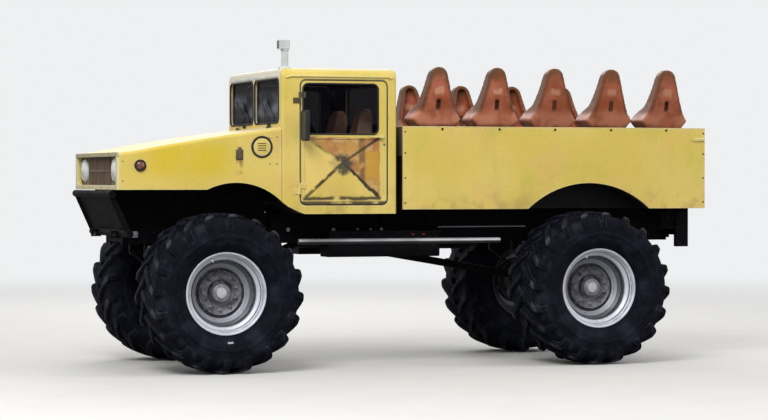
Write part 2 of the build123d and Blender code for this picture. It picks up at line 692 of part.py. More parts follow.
FACE_HALF_WIDTH = NOSE_HALF_WIDTH - 62
FACE_BOTTOM_Z = NOSE_BOTTOM_Z + 48
FACE_TOP_Z = NOSE_TOP_Z - 42
FACE_CORNER = 30
FACE_DEPTH = 60
FACE_PLATE = 10
GRILLE_HALF_WIDTH = 470
GRILLE_BOTTOM_Z = FACE_BOTTOM_Z + 22
GRILLE_TOP_Z = FACE_TOP_Z - 22
HEADLAMP_Y = 735
HEADLAMP_Z = (FACE_BOTTOM_Z + FACE_TOP_Z) / 2 + 8
HEADLAMP_RADIUS = 112
BEZEL = 14
INDICATOR_Y = 895
INDICATOR_HALF_WIDTH = 26
INDICATOR_HALF_HEIGHT = 100
MARKER = NOSE_FRONT + 246
MARKER_Z = NOSE_TOP_Z - 137
MARKER_RADIUS = 62


def face_sketch(half, inset):
    return rounded(-half, half, FACE_BOTTOM_Z + inset, FACE_TOP_Z - inset, FACE_CORNER - inset)


def grille_panel(shell):
    """Frame round the recessed face, and the face plate with its lamp and grille holes."""
    front = at(NOSE_FRONT)
    plate_x = front + FACE_DEPTH
    body = shell & block(front, front + SKIN, -BODY_HALF_WIDTH, BODY_HALF_WIDTH, 0, NOSE_TOP_Z + SKIN)
    box = face_sketch(FACE_HALF_WIDTH + FACE_PLATE, -FACE_PLATE)
    body += along_x(box, front, plate_x + FACE_PLATE)
    body -= along_x(face_sketch(FACE_HALF_WIDTH, 0), front, plate_x)
    body -= block(plate_x, plate_x + FACE_PLATE, -GRILLE_HALF_WIDTH, GRILLE_HALF_WIDTH,
                  GRILLE_BOTTOM_Z, GRILLE_TOP_Z)
    for side in (-1, 1):
        y = side * HEADLAMP_Y
        body -= rod((plate_x, y, HEADLAMP_Z), (plate_x + FACE_PLATE, y, HEADLAMP_Z), HEADLAMP_RADIUS)
    return body


GRILLE_SLATS = 15
SLAT = 14
SLAT_DEPTH = 30
GRILLE_BAR_Z = (GRILLE_BOTTOM_Z + GRILLE_TOP_Z) / 2
GRILLE_BAR = 16


def grille():
    """Upright slats on the face plate with a bar across them."""
    back = at(NOSE_FRONT) + FACE_DEPTH
    front = back - SLAT_DEPTH
    pitch = 2 * GRILLE_HALF_WIDTH / (GRILLE_SLATS - 1)
    pieces = [block(front, back, -GRILLE_HALF_WIDTH, GRILLE_HALF_WIDTH, GRILLE_BAR_Z - GRILLE_BAR / 2,
                    GRILLE_BAR_Z + GRILLE_BAR / 2)]
    for number in range(GRILLE_SLATS):
        y = -GRILLE_HALF_WIDTH + number * pitch
        pieces.append(block(front, back, y - SLAT / 2, y + SLAT / 2, GRILLE_BOTTOM_Z - 12, GRILLE_TOP_Z + 12))
    return joined(pieces)


def lamps():
    """Headlamps with their bezels, upright indicators and the round side markers."""
    plate_x = at(NOSE_FRONT) + FACE_DEPTH
    bodies = []
    for side in (-1, 1):
        y = side * HEADLAMP_Y
        lamp = rod((plate_x - 34, y, HEADLAMP_Z), (plate_x + 70, y, HEADLAMP_Z), HEADLAMP_RADIUS)
        lamp += rod((plate_x - 22, y, HEADLAMP_Z), (plate_x, y, HEADLAMP_Z), HEADLAMP_RADIUS + BEZEL)
        bodies.append(lamp)
        bodies.append(block(plate_x - 22, plate_x, side * INDICATOR_Y - INDICATOR_HALF_WIDTH,
                            side * INDICATOR_Y + INDICATOR_HALF_WIDTH, HEADLAMP_Z - INDICATOR_HALF_HEIGHT,
                            HEADLAMP_Z + INDICATOR_HALF_HEIGHT))
        skin_y = side_skin_y(MARKER)
        bodies.append(cross_bar(at(MARKER), MARKER_Z, side * (skin_y - 10), side * (skin_y + 22),
                                MARKER_RADIUS))
    return bodies


def fender(shell, side):
    """Side of the nose with its flat top shelf and the marker lamp's hole."""
    body = shell & side_block(at(NOSE_FRONT) + SKIN, at(CAB_FRONT), HOOD_HALF_WIDTH, BODY_HALF_WIDTH, side,
                              0, ROOF_Z)
    return body - cross_bar(at(MARKER), MARKER_Z, side * HOOD_HALF_WIDTH, side * BODY_HALF_WIDTH,
                            MARKER_RADIUS)


APRON = 12
APRON_FRONT = NOSE_FRONT + FACE_DEPTH + FACE_PLATE + 10
APRON_TOP_Z = NOSE_TOP_Z - 100


def nose_aprons():
    """Inner wall of each front wheel's arch, standing on the rail from the guard to the firewall."""
    outline = polygon((at(APRON_FRONT), APRON_TOP_Z), (at(APRON_FRONT), NOSE_BOTTOM_Z),
                      (at(RAIL_FRONT), RAIL_TOP_Z), (at(CAB_FRONT), RAIL_TOP_Z), (at(CAB_FRONT), APRON_TOP_Z))
    return [along_y(outline, *both(RAIL_OUTER_Y - APRON, RAIL_OUTER_Y, side)) for side in (-1, 1)]


# Hinges with half of each barrel on the fixed side and half on the moving one

HINGE_RADIUS = 11
HINGE_PIN_RADIUS = 5
HINGE_STANDOFF = 14
HINGE_LENGTH = 120
HINGE_LEAF = 6
HINGE_REACH = 70
HINGE_SPLIT = 0.5
GATE_HINGE_REACH = 120


def hinge_half(moving, reach):
    """Half a hinge about the Z axis, with its leaf HINGE_STANDOFF behind it. The moving half is
    the upper one and reaches along +X. The fixed half has the pin and reaches along -X."""
    half_length = HINGE_LENGTH / 2
    low, high = (HINGE_SPLIT, half_length) if moving else (-half_length, -HINGE_SPLIT)
    x_from, x_to = (0, reach) if moving else (-reach, 0)
    half = upright(0, 0, low, high, HINGE_RADIUS)
    half += block(x_from, x_to, -HINGE_STANDOFF, HINGE_LEAF - HINGE_STANDOFF, low, high)
    if moving:
        return half - upright(0, 0, low, high, HINGE_PIN_RADIUS + RUNNING_FIT)
    return half + upright(0, 0, low, half_length, HINGE_PIN_RADIUS)


def hood_top_z(back):
    """Height of the nose's top line at a place on its last stretch."""
    start, rise = HOOD_LINE[-1]
    share = (back - NOSE_FRONT - start) / (CAB_FRONT - NOSE_FRONT - start)
    return NOSE_TOP_Z + rise + share * (COWL_Z - NOSE_TOP_Z - rise)


HOOD_HINGE_YS = (200 - HOOD_HALF_WIDTH, HOOD_HALF_WIDTH - 200)
DOOR_BOTTOM_Z = CAB_BOTTOM_Z + 91
DOOR_TOP_Z = ROOF_Z - 115
DOOR_HINGE_Y = BODY_HALF_WIDTH + HINGE_STANDOFF
DOOR_HINGE_ZS = (DOOR_BOTTOM_Z + 180, DOOR_TOP_Z - 200)
GATE_HINGE_YS = (200 - BUMPER_HALF_WIDTH, BUMPER_HALF_WIDTH - 200)


def hood_hinge(y, moving):
    """Barrel across the truck at the hood's rear edge, with its leaves on the sloping top."""
    rise = atan2(hood_top_z(CAB_FRONT) - hood_top_z(HOOD_REAR), COWL_STRIP)
    origin = (at(HOOD_REAR) - HINGE_STANDOFF * sin(rise), y,
              hood_top_z(HOOD_REAR) + HINGE_STANDOFF * cos(rise))
    plane = Plane(origin=origin, x_dir=(-cos(rise), 0, -sin(rise)), z_dir=(0, 1, 0))
    return plane * hinge_half(moving, HINGE_REACH if moving else COWL_STRIP)


def door_hinge(side, z, moving):
    half = hinge_half(moving, HINGE_REACH)
    if side < 0:
        half = half.mirror(Plane.XZ)
    return Pos(at(DOOR_FRONT), side * DOOR_HINGE_Y, z) * half


def gate_hinge(y, moving):
    """Barrel below and behind the tailgate: one leaf up the gate, one forward under the floor."""
    origin = (at(BED_REAR) + HINGE_STANDOFF, y, BED_BOTTOM_Z - HINGE_STANDOFF)
    plane = Plane(origin=origin, x_dir=(0, 0, 1) if moving else (1, 0, 0), z_dir=(0, 1, 0))
    return plane * hinge_half(moving, GATE_HINGE_REACH)


def hinges():
    """Fixed halves of all hinges."""
    doors = [door_hinge(side, z, False) for side in (-1, 1) for z in DOOR_HINGE_ZS]
    hood_halves = [hood_hinge(y, False) for y in HOOD_HINGE_YS]
    gate_halves = [gate_hinge(y, False) for y in GATE_HINGE_YS]
    return doors + hood_halves + gate_halves


def hood(shell):
    """Hood between the fenders' shelves, with its hinge leaves on top."""
    half = HOOD_HALF_WIDTH - CLEARANCE
    front, rear = at(NOSE_FRONT) + SKIN + CLEARANCE, at(HOOD_REAR) - CLEARANCE
    sheet = shell & block(front, rear, -half, half, 0, ROOF_Z)
    return joined([sheet] + [hood_hinge(y, True) for y in HOOD_HINGE_YS])


# Cab

REAR_PILLAR = 100
DOOR_REAR = CAB_REAR - REAR_PILLAR
DOOR_CORNER = 70
DOOR_WINDOW_FRONT = DOOR_FRONT + 40
DOOR_WINDOW_REAR = DOOR_REAR - 113
DOOR_WINDOW_BOTTOM_Z = DOOR_TOP_Z - 587
DOOR_WINDOW_TOP_Z = DOOR_TOP_Z - 48
WINDSHIELD_BOTTOM_Z = COWL_Z + 50
WINDSHIELD_TOP_Z = ROOF_Z - 110
WINDSHIELD_HALF_WIDTH = BODY_HALF_WIDTH - 94
WINDSHIELD_POST = 60
REAR_WINDOW_HALF_WIDTH = BODY_HALF_WIDTH - 424
REAR_WINDOW_TOP_Z = ROOF_Z - 160
ROOF_SIDE_EDGE = 90
ROOF_END_EDGE = 36
# back from the cab's front, above its bottom
CAB_CORNER = ((0, 136), (73, 81), (201, 20), (260, 0))
CAB_CORNER_INSIDE = ((WALL, 216), (110, 126), (210, WALL))


def cab_outline():
    corner = [(at(CAB_FRONT + back), CAB_BOTTOM_Z + rise) for back, rise in CAB_CORNER]
    return polygon(*corner, (at(CAB_REAR), CAB_BOTTOM_Z), (at(CAB_REAR), ROOF_Z), (at(CAB_FRONT), ROOF_Z))


def cab_inside():
    corner = [(at(CAB_FRONT + back), CAB_BOTTOM_Z + rise) for back, rise in CAB_CORNER_INSIDE]
    return polygon(*corner, (at(CAB_REAR) - WALL, CAB_BOTTOM_Z + WALL), (at(CAB_REAR) - WALL, ROOF_Z - WALL),
                   (at(CAB_FRONT) + WALL, ROOF_Z - WALL))


def door_opening(gap=0):
    return rounded(at(DOOR_FRONT) + gap, at(DOOR_REAR) - gap, DOOR_BOTTOM_Z + gap, DOOR_TOP_Z - gap,
                   DOOR_CORNER - gap)


def windshield_panes():
    panes = []
    for side in (-1, 1):
        near, far = both(WINDSHIELD_POST / 2, WINDSHIELD_HALF_WIDTH, side)
        panes.append(rounded(near, far, WINDSHIELD_BOTTOM_Z, WINDSHIELD_TOP_Z, WINDOW_CORNER))
    return panes


def rear_window():
    half = REAR_WINDOW_HALF_WIDTH
    return rounded(-half, half, WINDSHIELD_BOTTOM_Z, REAR_WINDOW_TOP_Z, WINDOW_CORNER)


def rounded_roof(body):
    """Large radius over the doors, then a small one at the front and the back."""
    body = fillet(body.edges().filter_by(Axis.X).group_by(Axis.Z)[-1], ROOF_SIDE_EDGE)
    for end in (at(CAB_FRONT), at(CAB_REAR)):
        rim_edges = [edge for edge in body.edges()
                     if abs(edge.bounding_box().min.X - end) < 1 and abs(edge.bounding_box().max.X - end) < 1
                     and edge.center().Z > ROOF_Z - ROOF_SIDE_EDGE]
        body = fillet(rim_edges, ROOF_END_EDGE)
    return body


def cab_body():
    """Floor, firewall, cowl, pillars, back wall and roof, with door and window openings."""
    half = BODY_HALF_WIDTH
    body = rounded_roof(along_y(cab_outline(), -half, half))
    body -= along_y(cab_inside(), WALL - half, half - WALL)
    body -= along_y(door_opening(), -half - 1, half + 1)
    for pane in windshield_panes():
        body -= along_x(pane, at(CAB_FRONT) - 1, at(CAB_FRONT) + WALL + 1)
    body -= along_x(rear_window(), at(CAB_REAR) - WALL - 1, at(CAB_REAR) + 1)
    strip = polygon((at(HOOD_REAR), hood_top_z(HOOD_REAR)), (at(CAB_FRONT), COWL_Z),
                    (at(CAB_FRONT), COWL_Z - SKIN), (at(HOOD_REAR), hood_top_z(HOOD_REAR) - SKIN))
    return body + along_y(strip, -HOOD_HALF_WIDTH, HOOD_HALF_WIDTH)


def cab_glass():
    middle = at(CAB_FRONT) + WALL / 2
    bodies = [along_x(pane, middle, middle + GLASS) for pane in windshield_panes()]
    middle = at(CAB_REAR) - WALL / 2
    return bodies + [along_x(rear_window(), middle, middle + GLASS)]


MIRROR_ARM = 22
MIRROR_ARM_Z = DOOR_WINDOW_BOTTOM_Z + 42
MIRROR_NEAR = 60
MIRROR_FAR = 220
MIRROR_THICKNESS = 36
MIRROR_BOTTOM_Z = MIRROR_ARM_Z - 110
MIRROR_TOP_Z = MIRROR_ARM_Z + 200
PRESSING_INSET = 55
PRESSING_DEPTH = 5
HANDLE_LENGTH = 130
HANDLE_HEIGHT = 24
HANDLE_REACH = 30


def door_frame(side):
    """Door panel with its window cut and a pressed field under it."""
    half = BODY_HALF_WIDTH
    near, far = both(half - WALL, half, side)
    body = along_y(door_opening(CLEARANCE), near, far)
    window = rounded(at(DOOR_WINDOW_FRONT), at(DOOR_WINDOW_REAR), DOOR_WINDOW_BOTTOM_Z, DOOR_WINDOW_TOP_Z,
                     WINDOW_CORNER)
    pressing = rounded(at(DOOR_FRONT + PRESSING_INSET), at(DOOR_REAR - PRESSING_INSET),
                       DOOR_BOTTOM_Z + PRESSING_INSET, DOOR_WINDOW_BOTTOM_Z - PRESSING_INSET, DOOR_CORNER / 2)
    body -= along_y(window, near - 1, far + 1)
    near, far = both(half - PRESSING_DEPTH, half + 1, side)
    return body - along_y(pressing, near, far)


def mirror(side):
    x = at(DOOR_FRONT) + CLEARANCE + 6
    half = BODY_HALF_WIDTH
    arm = side_block(x, x + MIRROR_ARM, half, half + MIRROR_NEAR + 90, side,
                     MIRROR_ARM_Z, MIRROR_ARM_Z + MIRROR_ARM)
    head_x = x - 6
    return arm + side_block(head_x, head_x + MIRROR_THICKNESS, half + MIRROR_NEAR, half + MIRROR_FAR, side,
                            MIRROR_BOTTOM_Z, MIRROR_TOP_Z)


def door(side):
    """Door with its mirror, handle and the moving half of its hinges."""
    half = BODY_HALF_WIDTH
    body = door_frame(side) + mirror(side)
    handle_x, handle_z = at(DOOR_REAR) - 60, DOOR_WINDOW_BOTTOM_Z - 40
    body += side_block(handle_x - HANDLE_LENGTH, handle_x, half + HANDLE_REACH - 12, half + HANDLE_REACH,
                       side, handle_z, handle_z + HANDLE_HEIGHT)
    body += side_block(handle_x - 30, handle_x, half, half + HANDLE_REACH, side,
                       handle_z, handle_z + HANDLE_HEIGHT)
    return joined([body] + [door_hinge(side, z, True) for z in DOOR_HINGE_ZS])


def door_glass(side):
    middle = side * (BODY_HALF_WIDTH - WALL / 2)
    pane = rounded(at(DOOR_WINDOW_FRONT), at(DOOR_WINDOW_REAR), DOOR_WINDOW_BOTTOM_Z, DOOR_WINDOW_TOP_Z,
                   WINDOW_CORNER)
    return along_y(pane, middle - GLASS / 2, middle + GLASS / 2)


DASH_DEPTH = 220
DASH_BOTTOM_Z = COWL_Z - 210
DASH_TOP_Z = COWL_Z + 10
CAB_SEAT_Y = 450
COLUMN_RADIUS = 25
COLUMN_START = (DASH_DEPTH + 30, DASH_BOTTOM_Z + 40)
COLUMN_END = (470, DASH_TOP_Z - 40)
WHEEL_RADIUS = 205
WHEEL_GRIP = 28


def dashboard():
    """Dash across the firewall with the steering column and wheel."""
    inner = BODY_HALF_WIDTH - WALL
    front = at(CAB_FRONT) + WALL
    body = block(front, front + DASH_DEPTH, -inner, inner, DASH_BOTTOM_Z, DASH_TOP_Z)
    start = (at(CAB_FRONT) + COLUMN_START[0], -CAB_SEAT_Y, COLUMN_START[1])
    end = (at(CAB_FRONT) + COLUMN_END[0], -CAB_SEAT_Y, COLUMN_END[1])
    plane = Plane(origin=end, z_dir=Vector(*end) - Vector(*start))
    ring = Circle(WHEEL_RADIUS) - Circle(WHEEL_RADIUS - WHEEL_GRIP)
    spokes = Rectangle(2 * WHEEL_RADIUS - WHEEL_GRIP, 24) + Rectangle(24, 2 * WHEEL_RADIUS - WHEEL_GRIP)
    wheel = extrude(plane * (ring + spokes), WHEEL_GRIP)
    return body + rod(start, end, COLUMN_RADIUS) + wheel


# Seats

SEAT_DEPTH = 440
SEAT_SHELL = 45
SEAT_HEIGHT = 660
# height above the seat's base, half width of its outline
SEAT_OUTLINE = ((0, 205), (90, 276), (170, 217), (300, 168), (480, 120), (590, 96))
SEAT_HALF_WIDTH = max(half for height, half in SEAT_OUTLINE)
SEAT_BACK_Y = BODY_HALF_WIDTH - WALL - 4
LEFT_SEAT_FRONT = BED_FRONT + 435
LEFT_SEAT_PITCH = 683
LEFT_SEAT_Z = BED_TOP_Z - 3
RIGHT_SEAT_FRONT = BED_FRONT + 765
RIGHT_SEAT_PITCH = 643
RIGHT_SEAT_Z = LEFT_SEAT_Z - 130
BOARDING_GAP = 560
BENCH_OVERHANG = 250
BENCH_BACK_INSET = 90
BENCH_FRONT_INSET = 30


def seat_places(front, pitch, gap):
    """Middles of as many seats as fit before the tailgate, less a gap left for boarding."""
    room = BED_REAR - WALL - SEAT_HALF_WIDTH - gap - front
    return [front + number * pitch for number in range(int(room // pitch) + 1)]


# side, seats' places, height
SEAT_ROWS = ((-1, seat_places(LEFT_SEAT_FRONT, LEFT_SEAT_PITCH, 0), LEFT_SEAT_Z),
             (1, seat_places(RIGHT_SEAT_FRONT, RIGHT_SEAT_PITCH, BOARDING_GAP), RIGHT_SEAT_Z))


def seat_outline(inset=0):
    """Bell-shaped front view of a bucket seat, as (across, up)."""
    right = [(half - inset, height) for height, half in SEAT_OUTLINE]
    left = [(-across, height) for across, height in reversed(right)]
    crown = ThreePointArc(right[-1], (0, SEAT_HEIGHT - inset), left[0])
    return make_face(Polyline(left[-1], *right) + crown + Polyline(*left))


def bucket_seat():
    """Moulded seat facing +Y: its back stands at y = 0 and its base at z = 0."""
    deep, top = SEAT_DEPTH, SEAT_HEIGHT + 1
    reach = 2 * SEAT_HALF_WIDTH
    form = along_y(seat_outline(), 0, deep)
    form &= along_x(polygon((90, 0), (deep - 30, 0), (deep, 60), (deep - 10, 170), (deep - 90, 215),
                            (250, 260), (190, 400), (150, 560), (110, top), (-20, top), (20, 300)),
                    -reach, reach)
    hollow = along_y(seat_outline(SEAT_SHELL), -1, deep + 1)
    hollow &= along_x(polygon((deep + 1, 150), (190, 110), (135, 140), (70, 420), (50, top), (deep + 1, top)),
                      -reach, reach)
    slot = along_y(rounded(-16, 16, 200, 310, 15), -SEAT_SHELL, 150)
    return form - hollow - slot


def bed_seats():
    """Two rows that face each other across the aisle."""
    seat = bucket_seat()
    return [Pos(at(back), side * SEAT_BACK_Y, z) * Rot(0, 0, 90 + side * 90) * seat
            for side, places, z in SEAT_ROWS for back in places]


def seat_benches():
    """Box bench under each row, standing on the deck."""
    return [side_block(at(places[0] - BENCH_OVERHANG), at(places[-1] + BENCH_OVERHANG),
                       SEAT_BACK_Y - BENCH_BACK_INSET, SEAT_BACK_Y - SEAT_DEPTH + BENCH_FRONT_INSET, side,
                       DECK_Z + WALL, z)
            for side, places, z in SEAT_ROWS]


CAB_SEAT_BACK = CAB_REAR - 110
CAB_SEAT_Z = CAB_BOTTOM_Z + 486
CAB_SEAT_BASE = 300
CAB_SEAT_BASE_HALF = 200


def cab_seats():
    """Driver's and passenger's bucket seats on their boxes, facing forward."""
    bodies = []
    rear = at(CAB_SEAT_BACK) - 100
    for y in (-CAB_SEAT_Y, CAB_SEAT_Y):
        seat = Pos(at(CAB_SEAT_BACK), y, CAB_SEAT_Z) * Rot(0, 0, 90) * bucket_seat()
        bodies.append(seat + block(rear - CAB_SEAT_BASE, rear, y - CAB_SEAT_BASE_HALF, y + CAB_SEAT_BASE_HALF,
                                   CAB_BOTTOM_Z + WALL, CAB_SEAT_Z))
    return bodies


PIPE_RADIUS = 38
PIPE_HEIGHT = 300
PIPE_HEAD = 95


def roof_pipe():
    """Pipe on the cab's front corner with a head that points forward."""
    x, y, top = at(CAB_FRONT) + 78, ROOF_SIDE_EDGE + 45 - BODY_HALF_WIDTH, ROOF_Z + PIPE_HEIGHT
    body = upright(x, y, ROOF_Z, top - PIPE_HEAD, PIPE_RADIUS)
    return body + block(x - 75, x + 45, y - 45, y + 45, top - PIPE_HEAD, top)


# Bed

def bed_side(side):
    """Flush side panel with the rear wheel's arch."""
    half = BODY_HALF_WIDTH
    outline = polygon((at(BED_FRONT), BED_BOTTOM_Z), (at(BED_REAR), BED_BOTTOM_Z), (at(BED_REAR), BED_TOP_Z),
                      (at(BED_FRONT), BED_TOP_Z))
    outline -= Pos(at(REAR_ARCH), REAR_ARCH_Z) * Circle(REAR_ARCH_RADIUS)
    near, far = both(half - WALL, half, side)
    return along_y(outline, near, far)


def bed_floor():
    """Floor with a wheel house over each rear tyre, and the front board."""
    inner = BODY_HALF_WIDTH - WALL
    front, rear = at(BED_FRONT), at(BED_REAR) - WALL - CLEARANCE
    centre = Pos(at(REAR_ARCH), REAR_ARCH_Z)
    floor = block(front, rear, -inner, inner, BED_BOTTOM_Z, BED_BOTTOM_Z + BED_FLOOR)
    for side in (-1, 1):
        near, far = both(WHEEL_HOUSE_INNER_Y, inner, side)
        arch = along_y(centre * Circle(REAR_ARCH_RADIUS + WALL), near, far)
        floor += arch & block(front, rear, near, far, BED_BOTTOM_Z, BED_TOP_Z)
        near, far = both(WHEEL_HOUSE_INNER_Y + WALL, inner, side)
        floor -= along_y(centre * Circle(REAR_ARCH_RADIUS), near, far)
    return floor + block(front, front + WALL, -inner, inner, BED_BOTTOM_Z, BED_TOP_Z)


DECK_WALLS = 5
DECK_WALL_HALF = WHEEL_HOUSE_INNER_Y - 10


def seat_deck():
    """Raised passenger deck on cross walls between the wheel houses."""
    inner = BODY_HALF_WIDTH - WALL
    front, rear = at(BED_FRONT) + WALL, at(BED_REAR) - WALL - CLEARANCE
    body = block(front, rear, -inner, inner, DECK_Z, DECK_Z + WALL)
    pitch = (rear - front - WALL) / (DECK_WALLS - 1)
    for number in range(DECK_WALLS):
        x = front + number * pitch
        body += block(x, x + WALL, -DECK_WALL_HALF, DECK_WALL_HALF, BED_BOTTOM_Z + BED_FLOOR, DECK_Z)
    return body


def tailgate():
    """Drop gate between the bed sides, with the moving halves of its hinges."""
    half = BODY_HALF_WIDTH - WALL - CLEARANCE
    gate = block(at(BED_REAR) - WALL, at(BED_REAR), -half, half, BED_BOTTOM_Z + CLEARANCE, BED_TOP_Z)
    return joined([gate] + [gate_hinge(y, True) for y in GATE_HINGE_YS])


def write_wheels():
    bare_tyre, bare_rim = tyre(), rim()
    for end, x in (("front", FRONT_AXLE_X), ("rear", REAR_AXLE_X)):
        for name, side in (("left", -1), ("right", 1)):
            place = Pos(x, side * WHEEL_Y, AXLE_Z)
            turn = Rot(0, 0, 0 if side > 0 else 180)
            write(f"tyre_{end}_{name}", place * turn * bare_tyre)
            write(f"rim_{end}_{name}", place * turn * bare_rim)


def write_sides():
    for name, side in (("left", -1), ("right", 1)):
        write(f"knuckle_{name}", knuckle(side))
        write(f"door_{name}", door(side))
        write(f"door_glass_{name}", door_glass(side))
        write(f"bed_side_{name}", bed_side(side))


def write_chassis():
    write("tie_rod", tie_rod())
    write("front_axle", front_axle())
    write("rear_axle", rear_axle())
    write("frame_rails", frame_rail(-1), frame_rail(1))
    write("body_sills", *body_sills())
    write("crossmembers", *crossmembers())
    write("leaf_springs", *[leaf_spring(at(axle), side) for axle in (0, WHEELBASE) for side in (-1, 1)])
    write("shock_absorbers", *shock_absorbers())
    write("powertrain", *powertrain())
    write("drive_shafts", *drive_shafts())
    write("front_guard", front_guard())
    write("rear_hitch", rear_hitch())
    write("side_tubes", *side_tubes())
    write("side_boxes", *side_boxes())
    write("fuel_tank", fuel_tank())


def write_body():
    shell = nose_shell()
    write("fender_left", fender(shell, -1))
    write("fender_right", fender(shell, 1))
    write("grille_panel", grille_panel(shell))
    write("hood", hood(shell))
    write("grille", grille())
    write("lamps", *lamps())
    write("nose_aprons", *nose_aprons())
    write("cab_body", cab_body())
    write("cab_glass", *cab_glass())
    write("hinges", *hinges())
    write("dashboard", dashboard())
    write("cab_seats", *cab_seats())
    write("roof_pipe", roof_pipe())
    write("bed_floor", bed_floor())
    write("seat_deck", seat_deck())
    write("seat_benches", *seat_benches())
    write("bed_seats", *bed_seats())
    write("tailgate", tailgate())


def build():
    os.makedirs("parts", exist_ok=True)
    write_wheels()
    write_sides()
    write_chassis()
    write_body()


build()
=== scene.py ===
import json
from functools import partialmethod
from math import cos, pi, radians, sin

import bmesh
import bpy
from mathutils import Matrix, Vector


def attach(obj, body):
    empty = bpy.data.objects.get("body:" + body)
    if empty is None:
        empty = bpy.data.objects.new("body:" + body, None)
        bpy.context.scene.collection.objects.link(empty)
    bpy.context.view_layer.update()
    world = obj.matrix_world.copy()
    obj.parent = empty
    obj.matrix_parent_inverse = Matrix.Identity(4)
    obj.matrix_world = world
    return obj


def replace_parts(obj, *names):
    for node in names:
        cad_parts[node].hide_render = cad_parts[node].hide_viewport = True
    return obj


# Passenger monster truck on its CAD frame, in metres. Forward is -X, the driver's left is -Y, up is +Z.

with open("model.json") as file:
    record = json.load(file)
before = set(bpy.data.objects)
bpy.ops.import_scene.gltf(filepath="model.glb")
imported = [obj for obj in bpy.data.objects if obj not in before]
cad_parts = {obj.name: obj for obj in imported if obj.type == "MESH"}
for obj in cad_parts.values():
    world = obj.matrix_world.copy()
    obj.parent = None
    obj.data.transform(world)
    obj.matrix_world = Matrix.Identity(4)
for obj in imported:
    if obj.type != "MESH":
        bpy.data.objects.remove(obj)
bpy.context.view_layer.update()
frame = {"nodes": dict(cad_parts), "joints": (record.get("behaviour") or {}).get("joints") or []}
nodes = frame["nodes"]
joints = {joint["name"]: Vector(joint["pos_m"]) for joint in frame["joints"]}
scene = bpy.context.scene
scene.view_settings.view_transform = "Standard"

# Places and sizes

FRONT_AXLE_X, _, AXLE_Z = joints["roll_front_left"]
REAR_AXLE_X = joints["roll_rear_left"].x
BOTH = (-1, 1)
SIDES = (("left", -1), ("right", 1))
X, Y, Z = Vector((1, 0, 0)), Vector((0, 1, 0)), Vector((0, 0, 1))


def at(back):
    """X of a place measured back from the front axle."""
    return FRONT_AXLE_X + back


HALF_WIDTH = 1.044
NOSE_X = at(-1.087)
FACE_X = NOSE_X + 0.060
CAB_FRONT_X = at(0.690)
CAB_REAR_X = at(1.990)
BED_FRONT_X = at(2.065)
BED_REAR_X = at(5.670)
BED_TOP_Z = 2.603
BED_BOTTOM_Z = 1.709
ROOF_Z = 3.220


# Shader nodes

class Value:
    """What a shader node gives at each point. Values are reckoned with as numbers are."""

    def __init__(self, socket):
        self.socket = socket

    def passed_to(self, kind, *values, **named):
        """First output of a new node that takes this value first."""
        return Value(add_node(self.socket.id_data, kind, self, *values, **named).outputs[0])

    def math(self, operation, *others):
        return self.passed_to("Math", *others, operation=operation)

    __add__ = partialmethod(math, "ADD")
    __sub__ = partialmethod(math, "SUBTRACT")
    __mul__ = partialmethod(math, "MULTIPLY")
    __truediv__ = partialmethod(math, "DIVIDE")
    __abs__ = partialmethod(math, "ABSOLUTE")

    def __rsub__(self, other):
        return self * -1.0 + other

    def band(self, low, high):
        """0 at low, 1 at high, smooth between."""
        return self.passed_to("MapRange", low, high, interpolation_type="SMOOTHSTEP")

    def between(self, low, high, soft):
        """1 from low to high and 0 outside, with soft ends."""
        return self.band(low - soft, low + soft) * self.band(high + soft, high - soft)

    def choose(self, first, second):
        """The first value where this one is 0, the second where it is 1."""
        return self.passed_to("MapRange", 0.0, 1.0, first, second)


def feed(socket, value):
    """Links a socket to a value, or sets it to a number or colour."""
    if isinstance(value, Value):
        socket.id_data.links.new(value.socket, socket)
    elif socket.type == "RGBA":
        socket.default_value = (*value, 1)
    else:
        socket.default_value = value


def add_node(tree, kind, *values, **named):
    """Shader node, with its first inputs in order, then inputs or settings by name."""
    node = tree.nodes.new("ShaderNode" + kind)
    for name, value in named.items():
        if name in node.inputs:
            feed(node.inputs[name], value)
        else:
            setattr(node, name, value)
    for socket, value in zip(node.inputs, values):
        feed(socket, value)
    return node


